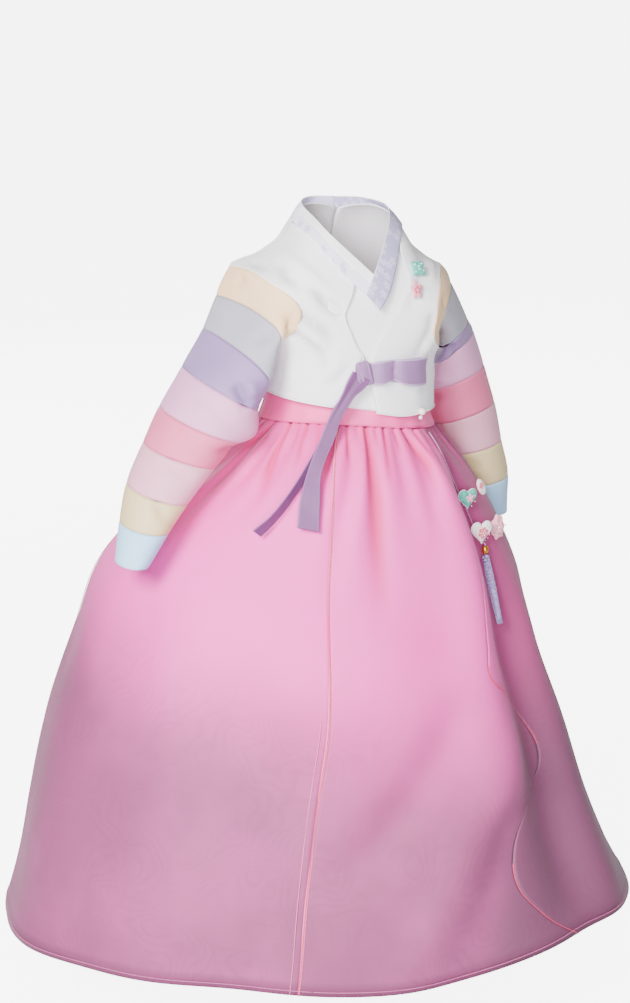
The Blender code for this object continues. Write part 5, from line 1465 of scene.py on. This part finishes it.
# --- ribbon -------------------------------------------------------------------------------
@dataclass
class Ribbon:
    """The tied ribbon: knot, loop to the wearer's left and two tails."""

    form: BodyForm
    # share, turn on the jacket, lift, drop of the top edge, drop of the bottom edge
    loop: Rows = (
        (0.00, -0.4, 0.0052, 1.50, 1.71), (0.15, 6.0, 0.0080, 1.47, 1.69), (0.26, 13.0, 0.0062, 1.45, 1.65),
        (0.36, 19.0, 0.0092, 1.44, 1.68), (0.48, 33.0, 0.0090, 1.44, 1.70), (0.56, 39.5, 0.0070, 1.45, 1.70),
        (0.60, 41.0, 0.0048, 1.455, 1.695), (0.64, 39.5, 0.0018, 1.45, 1.70),
        (0.74, 30.0, 0.0007, 1.45, 1.69),
        (0.90, 12.0, 0.0007, 1.46, 1.67), (1.00, 3.0, 0.0007, 1.49, 1.68),
    )
    # share; left edge across, depth, up; right edge across, depth, up
    wide_tail: Rows = (
        (0.00, 0.0068, -0.0935, -0.1172, 0.0240, -0.0900, -0.1275),
        (0.07, 0.0010, -0.0945, -0.1280, 0.0190, -0.0910, -0.1350),
        (0.16, -0.0035, -0.0955, -0.1395, 0.0095, -0.0935, -0.1428),
        (0.29, -0.0090, -0.0970, -0.1499, 0.0030, -0.0960, -0.1522),
        (0.43, -0.0169, -0.1000, -0.1635, -0.0050, -0.0990, -0.1658),
        (0.57, -0.0249, -0.1040, -0.1820, -0.0110, -0.1030, -0.1833),
        (0.71, -0.0378, -0.1170, -0.2127, -0.0239, -0.1190, -0.2132),
        (0.86, -0.0456, -0.1310, -0.2399, -0.0258, -0.1330, -0.2404),
        (1.00, -0.0485, -0.1440, -0.2652, -0.0267, -0.1460, -0.2688),
    )
    thin_tail: Rows = (
        (0.00, 0.0085, -0.0912, -0.1200, 0.0225, -0.0885, -0.1285),
        (0.07, 0.0030, -0.0915, -0.1310, 0.0165, -0.0890, -0.1362),
        (0.16, -0.0035, -0.0922, -0.1425, 0.0065, -0.0908, -0.1447),
        (0.29, -0.0110, -0.0940, -0.1526, -0.0030, -0.0930, -0.1538),
        (0.43, -0.0179, -0.0965, -0.1664, -0.0120, -0.0960, -0.1675),
        (0.57, -0.0249, -0.1005, -0.1847, -0.0190, -0.0985, -0.1874),
        (0.71, -0.0457, -0.1240, -0.2181, -0.0398, -0.1160, -0.2242),
        (0.86, -0.0712, -0.1430, -0.2501, -0.0656, -0.1330, -0.2578),
        (1.00, -0.0919, -0.1500, -0.2667, -0.0843, -0.1420, -0.2750),
    )
    knot_place: tuple[float, float, float] = (-1.9, 1.605, 0.0055)
    knot_size: tuple[float, float, float] = (0.0165, 0.0245, 0.0072)

    def build(self, fit: Fitting) -> None:
        """Make the loop, the tails and the knot."""
        turn, lift, top, bottom = np.moveaxis(Table.of(self.loop).at(even(150)), -1, 0)
        down = even(14)[:, None]
        points = self.form.point(turn[None], top + (bottom - top) * down, True,
                                 lift[None] * np.ones_like(down))
        cloth = Cloth("ribbon_loop_cloth", points, thickness=0.0008)
        gather = np.exp(-((even(150) - 0.26) / 0.022) ** 2)[None] * (0.6 + 0.4 * np.cos(4 * math.pi * down))
        cloth.pushed(-0.0018 * gather + ripple(cloth.points, 0.02, 0.0002))
        fit.cloth(cloth, LOOP_CLOTH, Held.FOLDED, ["ribbon_loop"], rests_on=["jacket_left_front"])
        for node, rows in (("ribbon_wide_tail", self.wide_tail), ("ribbon_thin_tail", self.thin_tail)):
            values = Table.of(rows).at(even(120))
            left, right = posed(*values[:, :3].T), posed(*values[:, 3:].T)
            points = left[:, None] + (right - left)[:, None] * even(12)[None, :, None]
            cloth = Cloth(node + "_cloth", points, thickness=0.0008)
            fade = 1 - smoothstep(0.1, 0.6, even(120))
            furrow = -0.0012 * np.exp(-((even(12) - 0.38) / 0.16) ** 2)[None] * fade[:, None]
            cloth.pushed(furrow + ripple(cloth.points, 0.03, 0.0003, 1.0))
            fit.cloth(cloth, RIBBON_CLOTH, Held.HUNG, [node])
        self.build_knot(fit)

    def build_knot(self, fit: Fitting) -> None:
        """The flat knot: a soft block wrapped by a sloping fold."""
        turn, drop, lift = self.knot_place
        centre = self.form.point(turn, drop, True, lift)
        right, up, out = face_axes(self.form.outward(centre), math.radians(10))
        width, height, thick = self.knot_size
        tilt, around = np.pi * (np.arange(22) + 0.5) / 22, 2 * np.pi * np.arange(48) / 48
        ct, st = np.cos(tilt)[:, None], np.sin(tilt)[:, None]

        def soft(value: Array, power: float) -> Array:
            """A power that keeps the sign."""
            return np.sign(value) * np.abs(value) ** power

        x = width / 2 * soft(st, 0.24) * soft(np.cos(around), 0.45) * (1 - 0.14 * ct)
        y = height / 2 * soft(ct, 0.55) * np.ones(48)
        z = thick / 2 * soft(st, 0.35) * soft(np.sin(around), 0.6)
        z = z * (1 - 0.16 * np.sin(5.2 * math.pi * x / width + 1.2 * ct) ** 4)
        bag = Bag()
        bag.rings(centre + x[..., None] * right + y[..., None] * up + z[..., None] * out)
        fit.bag(bag, "ribbon_knot_cloth", KNOT_CLOTH, "ribbon_mauve", ["ribbon_knot"])



# --- ornaments ----------------------------------------------------------------------------
def face_axes(facing: Array, tilt: float = 0.0) -> tuple[Array, Array, Array]:
    """Right, up and outward axes of a flat ornament, as a viewer in front of it sees them."""
    outward = unit(np.asarray(facing, float))
    right = unit(np.cross((0.0, 0.0, 1.0), outward))
    upward = np.cross(outward, right)
    cosine, sine = math.cos(tilt), math.sin(tilt)
    return right * cosine + upward * sine, upward * cosine - right * sine, outward


def heart(width: float, steps: int = 72) -> Array:
    """Outline of a heart of the given width round its middle."""
    t = 2 * math.pi * (np.arange(steps) + 0.5) / steps
    x = 16 * np.sin(t) ** 3
    y = 13 * np.cos(t) - 5 * np.cos(2 * t) - 2 * np.cos(3 * t) - np.cos(4 * t)
    return np.stack([x, y + 2], -1) * width / 32


def lobed(width: float, height: float, lobes: int, depth: float, start: float = 0.0,
          steps: int = 84) -> Array:
    """Outline of an oval with evenly spaced round lobes."""
    t = 2 * math.pi * np.arange(steps) / steps
    reach = 1 - depth * (0.5 - 0.5 * np.cos(lobes * (t - start)))
    return np.stack([width / 2 * reach * np.cos(t), height / 2 * reach * np.sin(t)], -1)


@dataclass
class Charm:
    """A small stuffed satin ornament with a corded rim and what is sewn on its face."""

    name: str
    node: str
    slot: str
    outline: Array
    centre: Array
    axes: tuple[Array, Array, Array]
    thickness: float
    finish: HardFinish
    rim: HardFinish

    def lift(self, share: Array | float) -> Array | float:
        """Half thickness at a share of the way from the middle to the rim."""
        return self.thickness / 2 * (0.30 + 0.70 * np.sqrt(np.clip(1 - np.asarray(share) ** 3, 0, 1)))

    def spot(self, x: float, y: float, above: float = 0.0) -> Array:
        """A point above the face, by its place on it."""
        right, up, out = self.axes
        away = np.linalg.norm(self.outline, axis=1).mean()
        return self.centre + x * right + y * up + (self.lift(min(1.0, math.hypot(x, y) / away)) + above) * out

    def build(self, fit: Fitting) -> None:
        """Make the body and its rim."""
        right, up, out = self.axes
        shares = np.concatenate([even(9)[1:], even(9)[1:][::-1]])
        signs = np.repeat([-1.0, 1.0], 9)
        flat = self.outline @ np.stack([right, up])
        heights = (signs * self.lift(shares))[:, None, None]
        grid = self.centre + shares[:, None, None] * flat[None] + heights * out
        bag = Bag()
        bag.rings(grid)
        obj = bag.build(self.name, fit.finish(self.finish))
        fit.seat(obj, self.slot, [self.node])
        bag = Bag()
        loop = self.centre + np.concatenate([flat, flat[:1]])
        bag.tube(loop, 0.00055, 6, up=tuple(out))
        fit.bag(bag, self.name + "_rim", self.rim, self.slot)

    def flower(self, bag: Bag, x: float, y: float, radius: float, petals: int = 5, turn: float = 0.0) -> None:
        """Petals of a small sewn flower, gathered into bag."""
        right, up, out = self.axes
        for i in range(petals):
            angle = turn + 2 * math.pi * i / petals
            along = math.cos(angle) * right + math.sin(angle) * up
            across = np.cross(out, along)
            px, py = x + 0.58 * radius * math.cos(angle), y + 0.58 * radius * math.sin(angle)
            bag.ball(self.spot(px, py, 0.0002),
                     np.stack([along * radius * 0.44, across * radius * 0.34, out * 0.0005]))

    def dots(self, bag: Bag, places: Iterable[tuple[float, float]], radius: float) -> None:
        """Round beads on the face, gathered into bag."""
        for x, y in places:
            bag.ball(self.spot(x, y, radius * 0.5), np.eye(3) * radius, 6, 8)


def ring_of(count: int, radius: float, start: float = 0.0) -> list[tuple[float, float]]:
    """Places evenly round a circle."""
    return [(radius * math.cos(start + 2 * math.pi * i / count),
             radius * math.sin(start + 2 * math.pi * i / count))
            for i in range(count)]


@dataclass
class ChestCharms:
    """The butterfly and flower on the left front, and the pearl button at its hem."""

    form: BodyForm
    butterfly: tuple[float, float, float] = (18.6, 0.64, 0.0028)
    flower: tuple[float, float, float] = (16.6, 0.84, 0.0026)

    def build(self, fit: Fitting) -> None:
        """Make both charms with their beads, and dress the pearls."""
        centre = self.form.point(*self.butterfly[:2], True, self.butterfly[2])
        moth = Charm("chest_butterfly_charm", "chest_butterfly", "teal_satin",
                     lobed(0.0185, 0.0170, 4, 0.34, math.pi / 4),
                     centre, face_axes(self.form.outward(centre)), 0.0036, TEAL_SATIN, TEAL_SATIN)
        moth.build(fit)
        bag = Bag()
        moth.dots(bag, [(0.0, 0.0015), (0.0, -0.0012), (-0.0042, 0.0040), (0.0042, 0.0040)], 0.0010)
        moth.dots(bag, [(-0.0048, -0.0030), (0.0048, -0.0030)], 0.0007)
        fit.bag(bag, "chest_butterfly_beads", PEARL)
        centre = self.form.point(*self.flower[:2], True, self.flower[2])
        bloom = Charm("chest_flower_charm", "chest_charm", "rose_satin",
                      lobed(0.0150, 0.0190, 5, 0.22, math.pi / 2),
                      centre, face_axes(self.form.outward(centre)), 0.0036, ROSE_SATIN, IVORY_SATIN)
        bloom.build(fit)
        bag = Bag()
        bloom.flower(bag, 0.0, -0.0005, 0.0042, 5, math.pi / 2)
        fit.bag(bag, "chest_flower_petals", CORAL_THREAD)
        bag = Bag()
        bloom.dots(bag, [(0.0, -0.0005), (0.0035, 0.0055), (-0.0035, 0.0055)], 0.0009)
        fit.bag(bag, "chest_flower_beads", PEARL)
        for node in ("hem_pearl", "hem_bead"):
            materials = bpy.data.objects[node].data.materials
            materials.clear()
            materials.append(fit.finish(PEARL))


@dataclass
class Norigae:
    """The hanging ornament at the left side: cord, charms, bead and tassel."""

    skirt: Skirt
    bead: tuple[float, float, float] = (65.6, 0.2410, 0.0072)
    bead_radius: float = 0.0034
    bead_stretch: float = 1.4
    bead_gap: float = 0.0010
    cord_diameter: float = 0.0018
    cord_in_tassel: float = 0.045
    route: Rows = (
        (57.5, 0.006, 0.0044), (60.0, 0.030, 0.0044), (62.5, 0.060, 0.0044), (64.5, 0.095, 0.0044),
        (65.5, 0.130, 0.0044), (66.0, 0.165, 0.0040), (66.0, 0.205, 0.0036), (65.9, 0.2230, 0.0044),
    )
    tip: tuple[float, float, float] = (60.5, 0.380, 0.0095)
    strands: int = 84
    knots: int = 13

    def on(self, turn: float, drop: float, lift: float) -> Array:
        """A point lifted off the skirt's smooth form."""
        return self.skirt.point(turn, drop, -lift, 0.0)

    def bead_end(self, sign: float) -> Array:
        """The point just past the bead's upper (1) or lower (-1) end."""
        reach = self.bead_radius * self.bead_stretch + self.bead_gap - 0.0003
        return self.on(*self.bead) + np.array([0, 0, sign * reach])

    def charm(self, name: str, node: str, slot: str, outline: Array, spot: tuple[float, float, float],
              lean: float,
              tilt: float, thickness: float, finish: HardFinish, rim: HardFinish) -> Charm:
        """A charm facing outward from the skirt, leant by degrees towards the front."""
        turn = math.radians(spot[0] - lean)
        axes = face_axes(posed(math.sin(turn), -math.cos(turn), 0.0), tilt)
        return Charm(name, node, slot, outline, self.on(*spot), axes, thickness, finish, rim)

    def build(self, fit: Fitting) -> None:
        """Make the charms, the bead's dressing, the tassel and the cord."""
        pieces = self.build_charms(fit)
        bag = Bag()
        centre = self.on(*self.bead)
        size = np.diag([self.bead_radius, self.bead_radius, self.bead_radius * self.bead_stretch])
        bag.ball(centre, size, 14, 24)
        for level in (-0.55, 0.0, 0.55):
            turn = np.linspace(0, 2 * math.pi, 25)
            reach = self.bead_radius * math.sqrt(1 - level ** 2)
            ring = centre + np.stack([reach * np.cos(turn), reach * np.sin(turn),
                                      np.full(25, level * self.bead_radius * self.bead_stretch)], -1)
            bag.tube(ring, 0.0003, 6)
        pieces.append(fit.bag(bag, "norigae_gold_bead", GOLD, "gold_bead", ["norigae_bead"]))
        pieces.append(self.build_tassel(fit))
        self.build_cord(fit)

    def build_charms(self, fit: Fitting) -> list[bpy.types.Object]:
        """The two hearts, the wing and the rosette."""
        upper = self.charm("norigae_heart_charm", "norigae_heart", "teal_satin", heart(0.0225),
                           (65.3, 0.139, 0.0122), 32, 0.0, 0.0050, TEAL_SATIN, IVORY_SATIN)
        wing = self.charm("norigae_wing_charm", "norigae_wing", "ivory_satin", lobed(0.0115, 0.0230, 1, 0.25),
                          (80.0, 0.127, 0.0050), 32, 0.6, 0.0040, IVORY_SATIN, ROSE_SATIN)
        lower = self.charm("norigae_lower_heart_charm", "norigae_lower_heart", "ivory_satin", heart(0.0255),
                           (65.0, 0.2050, 0.0119), 32, 0.0, 0.0055, IVORY_SATIN, IVORY_SATIN)
        rosette = self.charm("norigae_rosette_charm", "norigae_rosette", "rose_satin",
                             lobed(0.0165, 0.0270, 7, 0.16), (75.0, 0.203, 0.0082), 40, 0.0, 0.0060,
                             ROSE_SATIN, BLUSH_THREAD)
        for charm in (upper, wing, lower, rosette):
            charm.build(fit)
        petals, beads, blush, grey = Bag(), Bag(), Bag(), Bag()
        upper.flower(blush, 0.0015, 0.001, 0.0052, 5, math.pi / 2)
        upper.dots(beads, [(0.0015, 0.001)], 0.0010)
        upper.dots(beads, ring_of(9, 0.0085, 0.3), 0.0006)
        lower.flower(petals, 0.0, 0.0, 0.0064, 6, 0.3)
        lower.dots(beads, [(0.0, 0.0)] + ring_of(6, 0.0030), 0.0008)
        lower.dots(blush, ring_of(14, 0.0088, 0.1), 0.0006)
        rosette.flower(blush, -0.001, 0.0, 0.0072, 7, 0.0)
        rosette.dots(grey, ring_of(7, 0.0082, 0.2) + [(0.0045, 0.0095), (0.0045, -0.0095)], 0.0010)
        rosette.dots(beads, [(-0.001, 0.0)], 0.0012)
        wing.flower(petals, 0.0, 0.003, 0.0036, 5, 0.4)
        wing.dots(beads, [(0.0, -0.004), (0.0, -0.0065)], 0.0007)
        made = []
        for name, bag, finish in (
            ("norigae_coral_petals", petals, CORAL_THREAD),
            ("norigae_blush_petals", blush, BLUSH_THREAD),
            ("norigae_pearls", beads, PEARL),
            ("norigae_grey_beads", grey, GREY_BEAD),
        ):
            made.append(fit.bag(bag, name, finish))
        return made

    def build_tassel(self, fit: Fitting) -> bpy.types.Object:
        """A knotted head and neck, then straight silk strands."""
        top, tip = self.bead_end(-1.0), self.on(*self.tip)
        reach = float(np.linalg.norm(tip - top))
        axis = (tip - top) / reach
        across = unit(np.cross(axis, (0.0, 0.0, 1.0)))
        out = np.cross(axis, across)
        bag = Bag()
        for i in range(self.strands):
            angle, layer = 2.4 * i, math.sqrt((i + 0.5) / self.strands)
            turn = math.cos(angle) * across + math.sin(angle) * out
            along = np.linspace(0.06, 1.0 - 0.05 * (0.5 + 0.5 * math.sin(2.3 * i)), 9)
            width = 0.0036 * layer * (0.8 + 0.25 * np.sin(along * math.pi))
            sway = 0.0005 * np.sin(3.0 * along + i)
            path = top + axis * (along * reach)[:, None] + turn * width[:, None] + across * sway[:, None]
            bag.tube(path, 0.00034, 4)
        for i in range(self.knots):
            middle = top + axis * reach * (0.03 + 0.60 * i / self.knots)
            size = 0.0040 if i else 0.0044
            for k in range(4):
                angle = math.pi / 2 * k + 0.8 * i
                turn = math.cos(angle) * across + math.sin(angle) * out
                side = np.cross(axis, turn)
                bag.ball(middle + turn * size * 0.62,
                         np.stack([turn * 0.0016, side * 0.0021, axis * 0.0019]), 5, 8)
        tassel = bag.build("norigae_silk_tassel", fit.finish(PERIWINKLE))
        return fit.seat(tassel, "periwinkle_silk", ["norigae_tassel"])

    def build_cord(self, fit: Fitting) -> None:
        """The silk cord that all of it hangs on."""
        low = self.bead_end(-1.0)
        inside = low + unit(self.on(*self.tip) - low) * self.cord_in_tassel
        spots = np.array([self.on(*row) for row in self.route] + [self.bead_end(1.0), low, inside])
        path = Table(np.arange(len(spots), dtype=float), spots).at(np.linspace(0, len(spots) - 1, 53))
        curve = bpy.data.curves.new("norigae_silk_cord", "CURVE")
        curve.dimensions = "3D"
        curve.bevel_depth = self.cord_diameter / 2
        curve.bevel_resolution = 3
        curve.use_fill_caps = True
        spline = curve.splines.new("POLY")
        spline.points.add(len(path) - 1)
        for spot, point in zip(spline.points, path):
            spot.co = (*point, 1.0)
        curve.materials.append(fit.finish(CORD_SILK))
        cord = bpy.data.objects.new("norigae_silk_cord", curve)
        bpy.context.scene.collection.objects.link(cord)
        fit.seat(cord, "periwinkle_silk", ["norigae_cord"])
        tuple(path[0])


# --- studio -------------------------------------------------------------------------------
@dataclass
class Studio:
    """Pale floor, soft light and the camera."""

    frame_px: tuple[int, int] = (630, 1003)
    focal_px: float = 2878.0
    shift_px: tuple[float, float] = (-31.0, 49.48)
    azimuth: float = math.radians(-15.0)
    pitch: float = math.radians(15.2)
    distance: float = 2.90
    height: float = 0.46
    floor_z: float = -0.80
    ambient: float = 0.20
    backdrop: float = 8.0

    def build(self) -> None:
        """Make the camera, the floor and the lights."""
        scene = bpy.context.scene
        lens = bpy.data.cameras.new("camera")
        lens.sensor_width = 36.0
        lens.lens = self.focal_px / max(self.frame_px) * lens.sensor_width
        lens.shift_x, lens.shift_y = (s / max(self.frame_px) for s in self.shift_px)
        lens.clip_end = 50.0
        camera = bpy.data.objects.new("camera", lens)
        camera.location = (math.sin(self.azimuth) * self.distance, -math.cos(self.azimuth) * self.distance,
                           self.height)
        camera.rotation_euler = (math.pi / 2 - self.pitch, 0.0, self.azimuth)
        scene.collection.objects.link(camera)
        scene.camera = camera
        self.build_floor()
        self.add_light("key", (-1.66, -1.86, 1.05), 1.0, 192.0)
        self.add_light("front", (-0.7, -3.0, 0.3), 1.5, 112.0)
        self.add_light("back", (-0.3, 3.1, 0.9), 1.8, 95.0)
        self.add_light("side", (2.9, 1.6, 0.5), 1.6, 34.0)
        self.build_world(scene)

    def build_world(self, scene: bpy.types.Scene) -> None:
        """An even sky that lights softly and looks bright behind the garment."""
        world = bpy.data.worlds.new("studio")
        world.use_nodes = True
        make, sky = Tree(world.node_tree), world.node_tree.nodes["Background"]
        seen = make.node("ShaderNodeLightPath").outputs["Is Camera Ray"]
        make.feed(sky.inputs["Color"], (1.0, 1.0, 1.0, 1.0))
        make.feed(sky.inputs["Strength"],
                  make.math("ADD", make.math("MULTIPLY", seen, self.backdrop), self.ambient))
        scene.world = world

    def build_floor(self) -> None:
        """A wide pale floor that curves up behind."""
        bend = np.linspace(0.1, math.pi / 2, 14)
        depth = np.concatenate([np.linspace(-14, 10, 10), 10 + 3.0 * np.sin(bend), [13.0]])
        rise = np.concatenate([np.zeros(10), 3.0 - 3.0 * np.cos(bend), [9.0]])
        across = np.linspace(-14, 14, 3)
        verts = [(x, y, z + self.floor_z) for y, z in zip(depth, rise) for x in across]
        faces = [(r * 3 + i, r * 3 + i + 1, (r + 1) * 3 + i + 1, (r + 1) * 3 + i)
                 for r in range(len(depth) - 1) for i in range(2)]
        mesh = bpy.data.meshes.new("floor")
        mesh.from_pydata(verts, [], faces)
        mesh.shade_smooth()
        material, make, shader = start_material("pale_floor")
        shader.inputs["Base Color"].default_value = (0.62, 0.62, 0.63, 1.0)
        shader.inputs["Roughness"].default_value = 0.9
        shader.inputs["Emission Color"].default_value = (1.0, 1.0, 1.0, 1.0)
        seen = make.node("ShaderNodeLightPath").outputs["Is Camera Ray"]
        make.feed(shader.inputs["Emission Strength"], make.math("MULTIPLY", seen, self.backdrop * 0.8))
        mesh.materials.append(material)
        floor = bpy.data.objects.new("floor", mesh)
        bpy.context.scene.collection.objects.link(floor)

    @staticmethod
    def add_light(name: str, place: tuple[float, float, float], size: float, power: float) -> None:
        """A square soft light that faces the garment's middle."""
        light = bpy.data.lights.new(name, "AREA")
        light.size = size
        light.energy = power
        obj = bpy.data.objects.new(name, light)
        obj.location = place
        aim = Vector((0.0, 0.0, -0.35)) - Vector(place)
        obj.rotation_euler = aim.to_track_quat("-Z", "Y").to_euler()
        bpy.context.scene.collection.objects.link(obj)


def main() -> None:
    """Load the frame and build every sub-assembly on it."""
    logging.basicConfig(level=logging.INFO, format="%(message)s")
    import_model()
    fit = Fitting()
    Studio().build()
    form, skirt = BodyForm(), Skirt()
    Norigae(skirt).build(fit)
    skirt.build(fit)
    Jacket(form).build(fit)
    Collar(form).build(fit)
    Sleeve(Side.RIGHT, form, RIGHT_SLEEVE_SEAMS, RIGHT_SLEEVE_FOLDS, 0.012).build(fit)
    Sleeve(Side.LEFT, form, LEFT_SLEEVE_SEAMS, LEFT_SLEEVE_FOLDS, cap=0.002).build(fit)
    Ribbon(form).build(fit)
    ChestCharms(form).build(fit)
    bpy.context.view_layer.update()


if __name__ == "__main__":
    main()
